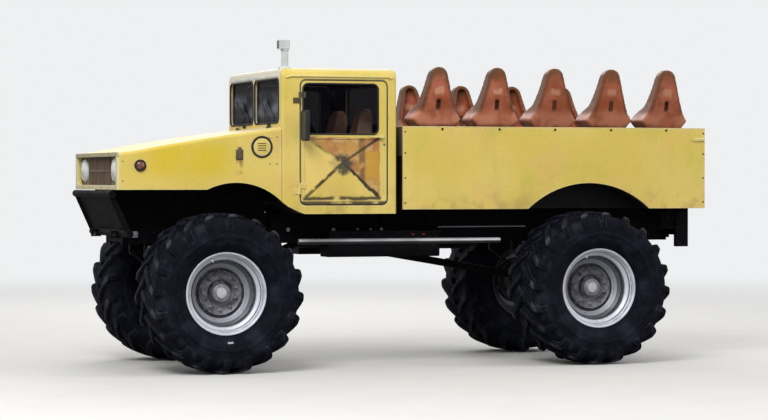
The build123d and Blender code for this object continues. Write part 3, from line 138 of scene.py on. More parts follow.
class Look:
    """One material: a colour built up in layers, with its roughness and relief."""

    def __init__(self, name, colour, roughness=0.5, metallic=0.0, shine=0.5):
        self.material = bpy.data.materials.new(name)
        self.material.use_nodes = True
        self.tree = self.material.node_tree
        self.shader = self.tree.nodes["Principled BSDF"]
        self.feed_shader("Roughness", roughness)
        self.feed_shader("Metallic", metallic)
        self.feed_shader("Specular IOR Level", shine)
        self.colour = colour
        self.normal = None
        self.place = self.get("Object", "TexCoord")
        self.x, self.y, self.z = (self.get(axis, "SeparateXYZ", self.place) for axis in range(3))
        self.wide = abs(self.y)

    def feed_shader(self, name, value):
        feed(self.shader.inputs[name], value)

    def get(self, output, kind, *values, **named):
        """Value that one output of a new node gives."""
        return Value(add_node(self.tree, kind, *values, **named).outputs[output])

    def stretched(self, stretch):
        return self.get(0, "VectorMath", self.place, stretch, operation="MULTIPLY")

    def noise(self, scale, detail, stretch=None):
        place = self.stretched(stretch) if stretch else self.place
        return self.get(0, "TexNoise", Vector=place, Scale=scale, Detail=detail)

    def patch(self, scale, detail, low, high, stretch=None):
        """Patches of noise, 0 where it is low and 1 where it is high."""
        return self.noise(scale, detail, stretch).band(low, high)

    def radius(self):
        """Distance from the piece's own Y axis."""
        return (self.x * self.x + self.z * self.z).math("SQRT")

    def facing_up(self, low=0.5, high=0.95):
        return self.get(2, "SeparateXYZ", self.get("Normal", "NewGeometry")).band(low, high)

    def edges(self, radius):
        """1 along the edges of the piece's solid, 0 on its flats. Also rounds how they take the light."""
        self.normal = self.get(0, "Bevel", radius, samples=4)
        flat = self.get("Normal", "NewGeometry")
        turn = self.get("Value", "VectorMath", self.normal, flat, operation="DOT_PRODUCT")
        return turn.band(0.985, 0.80)

    def layer(self, mask, colour, amount=1.0):
        """Another colour over those before it, where the mask is 1."""
        node = add_node(self.tree, "Mix", data_type="RGBA")
        for number, value in ((0, mask * amount), (6, self.colour), (7, colour)):
            feed(node.inputs[number], value)
        self.colour = Value(node.outputs[2])

    def spots(self, scale, detail, low, high, colour, amount, mask=None, stretch=None):
        """Patches of a colour, everywhere or within a mask."""
        patch = self.patch(scale, detail, low, high, stretch)
        self.layer(mask * patch if mask else patch, colour, amount)

    def rough(self, scale, low, high, detail=4):
        """Roughness that wanders from low to high."""
        self.feed_shader("Roughness", self.noise(scale, detail).choose(low, high))

    def bump(self, height, distance, strength):
        """Relief on top of the relief before it."""
        before = {"Normal": self.normal} if self.normal else {}
        self.normal = self.get(0, "Bump", Height=height, Distance=distance, Strength=strength, **before)

    def grain(self, scale, detail, distance, strength):
        self.bump(self.noise(scale, detail), distance, strength)

    def done(self):
        self.feed_shader("Base Color", self.colour)
        if self.normal:
            self.feed_shader("Normal", self.normal)
        return self.material


# Camera, lights and floor

CAMERA_PLACE = (-9.330, -26.670, 2.048)
CAMERA_AIM = (-0.07, 0, 1.69)
LENS_MM = 118
SENSOR_MM = 36
FARTHEST_SEEN = 400
# name, place, watts
LAMPS = (("key", (-9.0, -12.0, 13.0), 2100), ("fill", (14.0, -6.0, 9.0), 700),
         ("back", (2.0, 14.0, 11.0), 900))
LAMP_SIZE = 9.0
STUDIO = (0.86, 0.87, 0.88)
THROUGH_GLASS = 0.05
DAYLIGHT = 0.52
FLOOR_REACH = 150
LIT_PLACE = (0, 0, 1.5)


def linked(name, data):
    made = bpy.data.objects.new(name, data)
    scene.collection.objects.link(made)
    return made


def point(thing, place, aim):
    """Puts a camera or lamp at a place and turns it towards its aim."""
    thing.location = place
    thing.rotation_euler = (Vector(aim) - thing.location).to_track_quat("-Z", "Y").to_euler()


def add_camera():
    data = bpy.data.cameras.new("camera")
    data.lens = LENS_MM
    data.sensor_width = SENSOR_MM
    data.clip_end = FARTHEST_SEEN
    scene.camera = linked("camera", data)
    point(scene.camera, CAMERA_PLACE, CAMERA_AIM)


def add_lamps():
    for name, place, watts in LAMPS:
        data = bpy.data.lights.new(name, "AREA")
        data.shape = "DISK"
        data.size = LAMP_SIZE
        data.energy = watts
        point(linked(name, data), place, LIT_PLACE)


def add_world():
    """Soft grey light. The camera and gloss see a near-white studio, darker through the truck's glass."""
    world = bpy.data.worlds.new("studio")
    scene.world = world
    world.use_nodes = True
    tree = world.node_tree
    path = add_node(tree, "LightPath").outputs
    seen = Value(path["Is Camera Ray"])
    for ray in ("Is Glossy Ray", "Is Transmission Ray"):
        seen = seen.math("MAXIMUM", Value(path[ray]))
    shown = tree.nodes["Background"]
    feed(shown.inputs["Color"], STUDIO)
    feed(shown.inputs["Strength"], Value(path["Transparent Depth"]).choose(1.0, THROUGH_GLASS))
    light = add_node(tree, "Background", (1.0, 1.0, 1.0), DAYLIGHT)
    mixed = seen.passed_to("MixShader", Value(light.outputs[0]), Value(shown.outputs[0]))
    feed(tree.nodes["World Output"].inputs["Surface"], mixed)


def add_floor():
    """Pale floor that fades into the studio's colour far off and throws little light back up."""
    mesh = bpy.data.meshes.new("floor")
    corners = [(FLOOR_REACH * x, FLOOR_REACH * y, 0) for x, y in ((-1, -1), (1, -1), (1, 1), (-1, 1))]
    mesh.from_pydata(corners, [], [(0, 1, 2, 3)])
    look = Look("floor_plain", (0.30, 0.30, 0.29), 0.9)
    seen = look.get("Is Camera Ray", "LightPath")
    look.layer(seen, (0.76, 0.75, 0.73))
    look.spots(1.5, 3, 0.35, 0.7, (0.72, 0.71, 0.69), 0.5, seen)
    mesh.materials.append(look.done())
    far = look.get("Value", "VectorMath", look.place, operation="LENGTH").band(7.0, 26.0)
    through = look.get("Transparent Depth", "LightPath").choose(1.0, THROUGH_GLASS)
    glow = look.get(0, "Emission", STUDIO, through)
    mixed = (seen * far).passed_to("MixShader", Value(look.shader.outputs[0]), glow)
    feed(look.tree.nodes["Material Output"].inputs["Surface"], mixed)
    linked("floor", mesh)


# Materials

PALE_YELLOW = (0.80, 0.615, 0.165)
YELLOW = (0.73, 0.555, 0.105)
DEEP_YELLOW = (0.72, 0.52, 0.025)
# cream of the painted highlight on the yellow's upper faces and rounded edges
HIGHLIGHT_CREAM = (0.86, 0.77, 0.44)
RUST = (0.16, 0.055, 0.018)
DUST = (0.30, 0.26, 0.20)
# near black of painted shade inside and under the body, and of the black step arms
SHADE_AND_UNDERCOAT = (0.004, 0.004, 0.005)
WHITENED = (0.80, 0.77, 0.68)
BROWNED = (0.024, 0.017, 0.011)


def yellow_look(name, roughness=0.5):
    """Faded yellow with patches, streaks, chips on the edges and road dirt low down, and a painted cream
    highlight on faces turned up and along the rounded edges.
    """
    look = Look(name, YELLOW, roughness)
    look.spots(1.1, 4, 0.38, 0.66, PALE_YELLOW, 0.8)
    look.spots(2.6, 5, 0.50, 0.68, (0.78, 0.52, 0.16), 0.55)
    look.spots(3.4, 5, 0.56, 0.70, (0.56, 0.52, 0.07), 0.32)
    look.spots(4.0, 5, 0.52, 0.75, (0.56, 0.42, 0.09), 0.30, stretch=(1, 1, 0.25))
    fender = look.x.between(at(-0.78), at(0.12), 0.22) * look.z.between(2.08, 2.42, 0.10)
    look.spots(2.4, 4, 0.22, 0.60, DEEP_YELLOW, 0.95, fender * look.wide.band(0.90, 1.0))
    look.spots(60, 2, 0.55, 0.8, (0.42, 0.32, 0.09), 0.25)
    # painted highlight: cream on faces turned up and along the rounded edges
    look.spots(3, 4, 0.2, 0.6, HIGHLIGHT_CREAM, 0.55, look.facing_up())
    look.spots(4, 4, 0.20, 0.45, HIGHLIGHT_CREAM, 0.8, look.edges(0.030))
    look.spots(55, 3, 0.68, 0.73, RUST, 0.40)
    worn = look.edges(0.008)
    look.spots(14, 3, 0.45, 0.62, (0.86, 0.78, 0.48), 0.7, worn)
    look.spots(22, 3, 0.56, 0.66, RUST, 0.75, worn)
    run = look.x.between(at(0.195), at(0.265), 0.015) * look.z.between(2.10, 2.24, 0.03)
    look.spots(14, 4, 0.36, 0.56, (0.26, 0.16, 0.05), 0.75, run)
    look.spots(7, 5, 0.42, 0.72, (0.33, 0.24, 0.08), 0.5, look.z.band(2.02, 1.68))
    return look


def dark_inside(look):
    """Painted shade: black inside the fenders and below the floor, and near black inside the cab."""
    nose = look.x.between(NOSE_X + 0.09, CAB_FRONT_X - 0.002, 0.002) * look.wide.band(0.996, 0.990)
    look.layer(nose * look.z.band(2.30, 2.26), SHADE_AND_UNDERCOAT)
    inner = look.wide.band(HALF_WIDTH - 0.030, HALF_WIDTH - 0.038)
    front = CAB_FRONT_X - 0.004
    # from and to along the truck, softness of these ends, heights where the dark starts and where it is full
    for x_from, x_to, soft, high, low in (
            (front, BED_REAR_X - 0.05, 0.002, 1.72, 1.70),
            (front, CAB_FRONT_X + 0.020, 0.002, 2.30, 2.26),
            (front, CAB_FRONT_X + 0.15, 0.002, 1.86, 1.84),
            (CAB_FRONT_X + 0.030, CAB_REAR_X - 0.030, 0.004, ROOF_Z - 0.030, ROOF_Z - 0.036)):
        look.layer(inner * look.x.between(x_from, x_to, soft) * look.z.band(high, low), SHADE_AND_UNDERCOAT)


def bleached_front(look):
    """Chalky white over the windshield and on its posts, as sun leaves it."""
    front = look.x.band(CAB_FRONT_X + 0.060, CAB_FRONT_X + 0.004)
    near = look.wide.band(HALF_WIDTH - 0.030, HALF_WIDTH - 0.070)
    for low, high, amount in ((3.10, 3.14, 0.9), (2.62, 2.66, 0.6)):
        look.spots(6, 4, 0.2, 0.45, WHITENED, amount, front * near * look.z.band(low, high))


def yellow_paint():
    look = yellow_look("yellow_paint")
    bleached_front(look)
    dark_inside(look)
    look.rough(9, 0.34, 0.62)
    look.grain(2.2, 2, 0.006, 0.35)
    look.grain(70, 3, 0.0008, 0.25)
    return look.done()


DOOR_BLOCK_X = at(1.375)
DOOR_BLOCK_Z = 2.160
DOOR_BLOCK_HALF_WIDTH = 0.43
DOOR_BLOCK_HALF_HEIGHT = 0.33
# where the diagonals cross, as a share of the block's half height above its middle
DOOR_CROSSING = 0.16


def door_block(look):
    """Plain block of orange and brown triangles, parted by dark diagonals, under the window."""
    shake = look.noise(9, 3) * 0.12 - 0.06
    across = (look.x - DOOR_BLOCK_X) / DOOR_BLOCK_HALF_WIDTH + shake
    above = (look.z - DOOR_BLOCK_Z) / DOOR_BLOCK_HALF_HEIGHT - DOOR_CROSSING
    up = (above / (1 + DOOR_CROSSING)).math("MAXIMUM", above / (1 - DOOR_CROSSING)) + shake
    wide, high = abs(across), abs(up)
    inside = wide.band(1.0, 0.94) * high.band(1.0, 0.94)
    upper = inside * (across + up).band(0.0, 0.05)
    look.layer(upper, (0.50, 0.235, 0.06), 0.85)
    look.spots(5, 5, 0.45, 0.62, (0.40, 0.13, 0.045), 0.7, upper)
    look.spots(13, 4, 0.52, 0.64, (0.60, 0.40, 0.16), 0.8, upper)
    gold = upper * across.between(0.62, 0.95, 0.06) * up.between(-0.45, 0.45, 0.12)
    look.layer(gold, (0.60, 0.33, 0.03), 0.85)
    look.spots(9, 2, 0.40, 0.56, (0.16, 0.075, 0.03), 0.8, upper * across.between(0.44, 0.60, 0.05))
    look.spots(3, 4, 0.50, 0.7, (0.62, 0.42, 0.10), 0.4, inside)
    lines = inside * abs(wide - high).band(0.085, 0.045) * look.patch(12, 3, 0.26, 0.42)
    faded = (up - across).band(-0.3, 0.6) * look.patch(6, 3, 0.35, 0.55)
    look.layer(lines * (1.0 - faded * 0.75), (0.035, 0.024, 0.010))
    middle = (wide + high + shake * 4.0).band(0.50, 0.26)
    look.spots(17, 4, 0.30, 0.46, (0.045, 0.042, 0.026), 0.93, middle)
    left = inside * (across + high).band(0.0, -0.12)
    look.spots(2.5, 3, 0.25, 0.55, (0.90, 0.66, 0.20), 0.6, left)
    foot = wide.band(1.05, 0.98) * up.between(-1.04, -0.95, 0.03)
    look.spots(9, 3, 0.25, 0.45, (0.055, 0.040, 0.010), 0.95, foot)


def door_paint():
    """Yellow with the block, a dirty lower edge, brown hinge leaves, black mirror and painted shade on the
    inner side.
    """
    look = yellow_look("door_paint")
    door_block(look)
    look.spots(9, 4, 0.36, 0.54, (0.06, 0.042, 0.010), 0.95, look.z.between(1.765, 1.800, 0.012))
    upper = look.x.band(at(0.965), at(0.960)) * look.z.band(2.15, 2.20)
    look.layer(upper * look.wide.between(HALF_WIDTH + 0.002, HALF_WIDTH + 0.050, 0.001), BROWNED, 0.93)
    # painted shade: near black on the door's inner side
    look.layer(look.wide.band(HALF_WIDTH - 0.030, HALF_WIDTH - 0.036), (0.016, 0.015, 0.016), 0.95)
    mirror = look.wide.band(HALF_WIDTH + 0.045, HALF_WIDTH + 0.055)
    look.layer(mirror, (0.014, 0.013, 0.018))
    look.spots(8, 4, 0.42, 0.66, (0.055, 0.052, 0.066), 0.6, mirror)
    look.rough(9, 0.38, 0.66)
    look.grain(70, 3, 0.0008, 0.25)
    return look.done()


def hinge_paint():
    """Yellow like the body, with the upper hinges worn to brown."""
    look = yellow_look("hinge_paint")
    look.layer(look.z.band(2.15, 2.20), BROWNED, 0.93)
    return look.done()


def face_paint():
    """Pale frame round the nose, brown and dusty inside its recess."""
    look = yellow_look("face_paint", 0.55)
    look.layer(look.x.band(NOSE_X + 0.05, NOSE_X - 0.01), (0.78, 0.71, 0.46), 0.8)
    look.layer(look.z.band(2.262, 2.272), (0.36, 0.31, 0.17), 0.75)
    deep = look.x.band(NOSE_X + 0.050, NOSE_X + 0.058)
    look.layer(deep, (0.115, 0.085, 0.055))
    look.spots(10, 4, 0.42, 0.66, (0.23, 0.19, 0.14), 0.7, deep)
    return look.done()


def metal_paint(name, colour, worn, dust, roughness, metallic=0.0, rust=0.35, shine=0.5):
    """Painted or bare metal with worn edges, rust spots and dust where it faces up."""
    look = Look(name, colour, metallic=metallic, shine=shine)
    look.spots(3.5, 5, 0.40, 0.70, [0.55 * part for part in colour], 0.6)
    look.spots(24, 4, 0.60, 0.72, RUST, rust)
    look.spots(13, 3, 0.42, 0.60, worn, 0.8, look.edges(0.005))
    look.spots(5, 5, 0.35, 0.65, DUST, dust, look.facing_up())
    look.rough(11, *roughness)
    look.grain(45, 4, 0.0012, 0.3)
    return look.done()


def rubber():
    """Blue-black rubber, dusty between the lugs and scuffed grey where they run, with a painted grey-blue
    sheen on the outer shoulders and pale grey-blue lug edges that are partly scuffing and partly painted
    highlight.
    """
    look = Look("tyre_rubber", (0.0040, 0.0048, 0.0095), shine=0.08)
    radius = look.radius()
    wall = radius.between(0.46, 0.70, 0.03)
    look.spots(5, 5, 0.45, 0.72, (0.016, 0.019, 0.033), 0.8, wall)
    look.spots(38, 3, 0.62, 0.72, (0.045, 0.046, 0.056), 0.5, wall)
    look.spots(7, 4, 0.50, 0.70, (0.022, 0.024, 0.032), 0.8, radius.between(0.68, 0.80, 0.02))
    look.spots(10, 5, 0.40, 0.66, (0.022, 0.024, 0.034), 0.8, radius.band(0.815, 0.832))
    # painted sheen: grey-blue on the outer shoulder of the tread
    shoulder = look.wide.band(0.25, 0.32) * radius.band(0.800, 0.818)
    look.spots(5, 4, 0.34, 0.56, (0.085, 0.09, 0.115), 0.5, shoulder)
    # lugs' edges paler: partly scuffing, partly painted highlight
    look.spots(9, 4, 0.40, 0.62, (0.085, 0.092, 0.12), 0.7, look.edges(0.012))
    look.rough(8, 0.55, 0.85)
    look.grain(60, 4, 0.0015, 0.4)
    return look.done()


# from and to place outwards of the painted shade on the steps between the wheel's bright rings
PAINTED_SHADE_STEPS = ((-0.20, 0.188), (0.230, 0.249))


def rim_silver():
    """Silver wheel paint with brake dust and water marks towards the middle, painted shade in the steps,
    round the disc, round the hub and on the inner side, and a painted highlight along the edges.
    """
    look = Look("rim_silver", (0.74, 0.75, 0.84), metallic=0.30)
    radius = look.radius()
    look.spots(6, 5, 0.44, 0.74, (0.50, 0.51, 0.58), 0.6)
    # painted shade in the steps of the well and on the disc's outer cone
    for low, high in PAINTED_SHADE_STEPS:
        look.layer(look.y.between(low, high, 0.004), (0.045, 0.047, 0.058), 0.9)
    # painted shade line under the outer flange, broken into dashes
    look.spots(16, 3, 0.44, 0.54, (0.06, 0.06, 0.07), 0.8, look.y.between(0.262, 0.270, 0.002))
    look.layer(radius.between(0.268, 0.312, 0.004), (0.44, 0.46, 0.52), 0.9)
    # painted shade: the wheel's inner side near black
    look.layer(look.y.band(-0.02, -0.06), SHADE_AND_UNDERCOAT, 0.95)
    disc = radius.band(0.270, 0.266)
    look.layer(disc, (0.175, 0.18, 0.215), 0.92)
    look.spots(15, 5, 0.45, 0.62, (0.05, 0.048, 0.052), 0.75, disc)
    look.spots(9, 4, 0.54, 0.66, (0.26, 0.26, 0.30), 0.6, disc)
    # painted shade: black ring round the disc
    look.spots(8, 5, 0.30, 0.48, (0.006, 0.006, 0.008), 0.95, radius.between(0.236, 0.266, 0.006))
    # painted shade: dark ring round the hub
    look.spots(8, 5, 0.62, 0.42, (0.010, 0.010, 0.012), 0.9, radius.between(0.106, 0.142, 0.012))
    look.spots(14, 4, 0.28, 0.50, (0.30, 0.30, 0.33), 0.85, radius.band(0.104, 0.092))
    look.layer(radius.band(0.058, 0.050), (0.66, 0.65, 0.68), 0.85)
    look.spots(30, 4, 0.60, 0.70, RUST, 0.5, radius.band(0.44, 0.30))
    # painted highlight: near white along the edges
    look.spots(9, 3, 0.40, 0.60, (0.85, 0.85, 0.90), 0.8, look.edges(0.004))
    look.rough(12, 0.34, 0.60)
    look.grain(50, 3, 0.0008, 0.3)
    return look.done()


def step_metal():
    """Bright bar, with painted shade making all but its top near black, darker forward, and with black arms.
    """
    look = Look("step_metal", (0.62, 0.63, 0.66), metallic=0.5)
    look.spots(7, 4, 0.40, 0.62, (0.30, 0.31, 0.33), 0.8, stretch=(0.4, 1, 1))
    # darker towards the front
    look.spots(4, 4, 0.25, 0.55, (0.16, 0.17, 0.18), 0.7, look.x.band(at(2.3), at(1.1)))
    # painted shade: all but the faces turned up near black
    look.layer(1.0 - look.facing_up(-0.25, 0.30), (0.012, 0.012, 0.014), 0.95)
    look.layer(look.wide.band(0.868, 0.862), SHADE_AND_UNDERCOAT)
    look.rough(11, 0.30, 0.55)
    return look.done()


def seat_plastic(name, colour, pale, dark):
    """Sun-bleached moulded plastic, with painted shade on the crowns and dirt in the hollows."""
    look = Look(name, colour, shine=0.25)
    look.spots(3.2, 4, 0.40, 0.66, pale, 0.8)
    look.spots(11, 5, 0.48, 0.70, dark, 0.40)
    # painted shade on faces turned up
    look.spots(7, 4, 0.38, 0.60, dark, 0.55, look.facing_up())
    look.spots(6, 4, 0.36, 0.60, dark, 0.6, look.edges(0.025))
    look.spots(90, 2, 0.66, 0.72, pale, 0.5)
    look.rough(14, 0.28, 0.55)
    look.grain(160, 2, 0.0005, 0.3)
    return look


# side, middle of the first seat back from the front axle, pitch, height of the seats' base, number of seats
SEAT_ROWS = ((-1, 2.500, 0.683, 2.600, 5), (1, 2.830, 0.643, 2.470, 4))


def orange_seat():
    """Seat plastic with the same marks on each seat of a row: painted shade on the crown and at the foot,
    darker flanks, a painted highlight low on the back, a pale spot mid-back and the dark belt slot, and
    darker on the rear seats.
    """
    look = seat_plastic("seat_orange", (0.33, 0.078, 0.030), (0.50, 0.160, 0.092), (0.10, 0.034, 0.011))
    across, up = look.x, look.z
    for side, first, pitch, base, _ in SEAT_ROWS:
        row = (look.y * side).band(0.1, 0.2)
        turns = look.x.math("WRAP", at(first) + pitch / 2, at(first) - pitch / 2)
        across = row.choose(across, turns - at(first))
        up = row.choose(up, look.z - base)
    wide = abs(across)
    height = up + (look.noise(7, 4) - 0.5) * 0.12
    # painted shade on the crown
    look.spots(4, 3, 0.15, 0.5, (0.115, 0.055, 0.018), 0.9, height.band(0.46, 0.62))
    # darker flanks
    flank = (wide + up * 0.27).band(0.200, 0.240)
    look.layer(flank * height.band(0.12, 0.20), (0.10, 0.042, 0.016), 0.85)
    # painted highlight low on the back
    look.spots(5, 4, 0.30, 0.55, (0.60, 0.25, 0.16), 0.8, height.band(0.24, 0.10))
    # painted shade at the foot
    look.spots(6, 4, 0.40, 0.60, (0.13, 0.032, 0.014), 0.8, up.band(0.06, 0.01))
    # pale spot mid-back
    pale_spot = wide.band(0.075, 0.035) * height.between(0.37, 0.43, 0.025)
    look.layer(pale_spot, (0.60, 0.30, 0.19), 0.85)
    look.layer(look.x.band(at(3.2), at(3.8)), (0.22, 0.060, 0.022), 0.28)
    slot = wide.band(0.034, 0.020) * up.between(0.19, 0.31, 0.02)
    look.layer(slot, (0.07, 0.022, 0.010), 0.95)
    return look.done()


# paler copy of the seat plastic: painted light, so that the cab seats show through the dark glass
def cab_seat():
    return seat_plastic("seat_cab_painted_light", (0.80, 0.38, 0.23), (0.86, 0.66, 0.54), (0.50, 0.20, 0.10)).done()


def deck_plate():
    """Dark steel plate with raised lozenges, scuffed bright along the aisle, with painted shade underneath.
    """
    look = Look("deck_plate", (0.10, 0.10, 0.10), shine=0.2)
    look.spots(2.5, 5, 0.42, 0.68, (0.05, 0.05, 0.052), 0.8)
    place = look.stretched((1, 1.9, 1))
    tread = look.get("Distance", "TexVoronoi", Vector=place, Scale=24, Randomness=0.12).band(0.34, 0.26)
    up = look.facing_up()
    look.spots(4, 4, 0.35, 0.6, (0.34, 0.33, 0.32), 0.8, tread * up)
    look.spots(5, 5, 0.45, 0.65, DUST, 0.5, up)
    look.spots(13, 3, 0.45, 0.6, (0.32, 0.31, 0.30), 0.8, look.edges(0.005))
    # painted shade: black below the deck's top
    look.layer(look.z.band(2.295, 2.285), SHADE_AND_UNDERCOAT)
    look.rough(10, 0.40, 0.70)
    look.bump(tread * up, 0.003, 0.8)
    return look.done()


def window_glass():
    """Dark glass, see-through by alpha, with a painted grey-blue sky reflection across the windshield, less
    clear there.
    """
    look = Look("window_glass", (0.003, 0.003, 0.006), 0.04, shine=0.03)
    look.spots(9, 4, 0.55, 0.80, (0.08, 0.075, 0.07), 0.35)
    # painted reflection: soft grey-blue patches across the windshield, less see-through there
    front = look.x.band(CAB_FRONT_X + 0.03, CAB_FRONT_X + 0.02) * look.z.between(2.70, 2.95, 0.08)
    dust = front * look.patch(1.6, 2, 0.30, 0.70, (1, 1, 3))
    look.layer(dust, (0.14, 0.145, 0.215), 0.85)
    look.feed_shader("Alpha", dust.choose(0.34, 0.9))
    return look.done()


def mirror_glass():
    look = Look("mirror_glass", (0.60, 0.62, 0.65), 0.06, 0.9)
    look.spots(12, 4, 0.48, 0.72, (0.34, 0.33, 0.31), 0.45)
    return look.done()


def lens(name, colour, dark):
    """Pressed lamp glass with fine flutes."""
    look = Look(name, colour, 0.12)
    flutes = look.get("Fac", "TexWave", look.place, Scale=18, wave_type="BANDS", bands_direction="Y")
    look.layer(flutes.band(0.35, 0.9), dark, 0.35)
    look.spots(20, 4, 0.50, 0.72, DUST, 0.35)
    look.bump(flutes, 0.002, 0.5)
    look.feed_shader("Coat Weight", 0.5)
    return look.done()


def trim(name, colour, worn, roughness=(0.45, 0.7)):
    """Rubber or plastic trim with dust in its grain."""
    look = Look(name, colour)
    look.spots(9, 4, 0.45, 0.70, worn, 0.6)
    look.spots(6, 4, 0.4, 0.65, DUST, 0.4, look.facing_up())
    look.rough(18, *roughness, detail=3)
    look.grain(220, 2, 0.0004, 0.35)
    return look.done()


# name, colour, worn edges, dust, range of roughness, and what differs from plain paint
METALS = {
    "bolt": ("bolt_steel", (0.30, 0.29, 0.30), (0.6, 0.6, 0.6), 0.3, (0.3, 0.5), {"metallic": 0.7}),
    "chassis": ("chassis_black", (0.006, 0.0056, 0.008), (0.055, 0.052, 0.06), 0.2, (0.42, 0.7),
                {"rust": 0.15, "shine": 0.03}),
    "axle": ("axle_black", (0.008, 0.008, 0.010), (0.06, 0.06, 0.07), 0.25, (0.45, 0.75), {"shine": 0.05}),
    "spring": ("spring_steel", (0.016, 0.015, 0.016), RUST, 0.3, (0.5, 0.75), {"shine": 0.2}),
    "damper": ("damper_grey", (0.40, 0.40, 0.42), (0.7, 0.7, 0.7), 0.3, (0.42, 0.7), {}),
    "engine": ("engine_iron", (0.022, 0.022, 0.024), (0.12, 0.12, 0.12), 0.3, (0.42, 0.7), {"shine": 0.2}),
    "tank": ("tank_black", (0.007, 0.007, 0.009), (0.05, 0.05, 0.06), 0.2, (0.42, 0.7),
             {"rust": 0.15, "shine": 0.04}),
    "grille": ("grille_brown", (0.13, 0.085, 0.050), (0.36, 0.29, 0.20), 0.3, (0.4, 0.65), {}),
    "white": ("white_paint", (0.71, 0.76, 0.745), (0.86, 0.88, 0.87), 0.15, (0.35, 0.6), {"rust": 0.2}),
}


def make_materials():
    return {
        "yellow": yellow_paint(),
        "door": door_paint(),
        "hinge": hinge_paint(),
        "face": face_paint(),
        "tyre": rubber(),
        "rim": rim_silver(),
        **{look: metal_paint(*row, **extra) for look, (*row, extra) in METALS.items()},
        "step": step_metal(),
        "deck": deck_plate(),
        "seat": orange_seat(),
        "cab_seat": cab_seat(),
        "trim": trim("cab_trim", (0.012, 0.012, 0.014), (0.03, 0.03, 0.03)),
        "rubber": trim("seal_rubber", (0.009, 0.009, 0.010), (0.028, 0.027, 0.026), (0.6, 0.85)),
        "dial": trim("dial_face", (0.04, 0.04, 0.042), (0.5, 0.5, 0.5)),
        "window": window_glass(),
        "mirror": mirror_glass(),
        "lamp": lens("lamp_lens", (0.78, 0.79, 0.78), (0.45, 0.45, 0.46)),
        "amber": lens("amber_lens", (0.17, 0.045, 0.018), (0.07, 0.018, 0.006)),
        "dark_lens": lens("dark_lens", (0.045, 0.035, 0.03), (0.02, 0.015, 0.012)),
        "red": lens("red_lens", (0.40, 0.012, 0.01), (0.16, 0.006, 0.005)),
    }


CAD_LOOKS = {
    "yellow": ("fender_left", "fender_right", "hood", "cab_body", "bed_side_left", "bed_side_right",
               "tailgate"),
    "door": ("door_left", "door_right"),
    "face": ("grille_panel",),
    "chassis": ("frame_rails", "body_sills", "crossmembers", "front_guard", "rear_hitch", "drive_shafts",
                "nose_aprons"),
    "axle": ("front_axle", "rear_axle", "knuckle_left", "knuckle_right", "tie_rod"),
    "spring": ("leaf_springs",),
    "damper": ("shock_absorbers",),
    "engine": ("powertrain",),
    "step": ("side_tubes",),
    "tank": ("fuel_tank", "side_boxes"),
    "grille": ("grille",),
    "hinge": ("hinges",),
    "window": ("cab_glass", "door_glass_left", "door_glass_right"),
    "trim": ("dashboard",),
    "white": ("roof_pipe",),
    "deck": ("bed_floor", "seat_deck", "seat_benches"),
}


def dress_nodes():
    for look, names in CAD_LOOKS.items():
        for name in names:
            materials = nodes[name].data.materials
            materials.clear()
            materials.append(looks[look])


# Mesh helpers

def blanks(count):
    """Empty meshes for pieces to be built in."""
    return [bmesh.new() for _ in range(count)]


def angles(count, start=0.0):
    """Even steps round a circle."""
    return [start + 2 * pi * number / count for number in range(count)]


def ring(centre, across, up, sides):
    """Points round a circle, from its centre and its two half axes."""
    return [centre + across * cos(angle) + up * sin(angle) for angle in angles(sides)]


def skin(bm, rows, joined_ends=False, caps=False):
    """Faces between rows of points, each row a closed ring."""
    made = [[bm.verts.new(point) for point in row] for row in rows]
    pairs = list(zip(made, made[1:]))
    if joined_ends:
        pairs.append((made[-1], made[0]))
    for near, far in pairs:
        for number in range(len(near)):
            following = (number + 1) % len(near)
            bm.faces.new((near[number], near[following], far[following], far[number]))
    if caps:
        bm.faces.new(made[0])
        bm.faces.new(made[-1])


def turn_point(across, radius, angle):
    """Point of a wheel, from its place along the axle, its radius and its angle."""
    return Vector((radius * sin(angle), across, radius * cos(angle)))


def lathe(bm, profile, sides, closed=True, place=Matrix()):
    """Profile of (across, radius) turned about the Y axis, then put in its place."""
    rows = [[place @ turn_point(across, radius, angle) for angle in angles(sides)]
            for across, radius in profile]
    skin(bm, rows, joined_ends=closed)


def side_turned(bm, profile, x, y, z, towards=None, corners=48):
    """Lathe that stands on a place on both sides of the truck, towards a direction or outwards."""
    for side in BOTH:
        turn = Y.rotation_difference(towards or side * Y).to_matrix().to_4x4()
        lathe(bm, profile, corners, place=Matrix.Translation((x, side * y, z)) @ turn)


def tube(bm, points, radius, sides=8, closed=False, flat=1.0):
    """Round bar along points. Flat squeezes it along its second cross direction."""
    points = [Vector(point) for point in points]
    last = len(points) - 1
    rows, across = [], None
    for number, point in enumerate(points):
        before = points[number - 1] if closed or number else point
        after = points[(number + 1) % len(points)] if closed or number < last else point
        along = (after - before).normalized()
        if across is None:
            across = along.orthogonal().normalized()
        across = (across - along * across.dot(along)).normalized()
        rows.append(ring(point, across * radius, along.cross(across) * radius * flat, sides))
    skin(bm, rows, joined_ends=closed, caps=not closed)


def block(bm, low, high, bevel=0.0):
    low, high = Vector(low), Vector(high)
    place = Matrix.Translation((low + high) / 2) @ Matrix.Diagonal((*(high - low), 1))
    made = bmesh.ops.create_cube(bm, size=1, matrix=place)
    if bevel:
        edges = {edge for vert in made["verts"] for edge in vert.link_edges}
        bmesh.ops.bevel(bm, geom=list(edges), offset=bevel, segments=2, affect="EDGES", profile=0.5)


def side_block(bm, x_from, x_to, near, far, z_from, z_to, bevel=0.0, sides=BOTH):
    """Block on both sides of the truck, or on one."""
    for side in sides:
        low, high = sorted((side * near, side * far))
        block(bm, (x_from, low, z_from), (x_to, high, z_to), bevel)


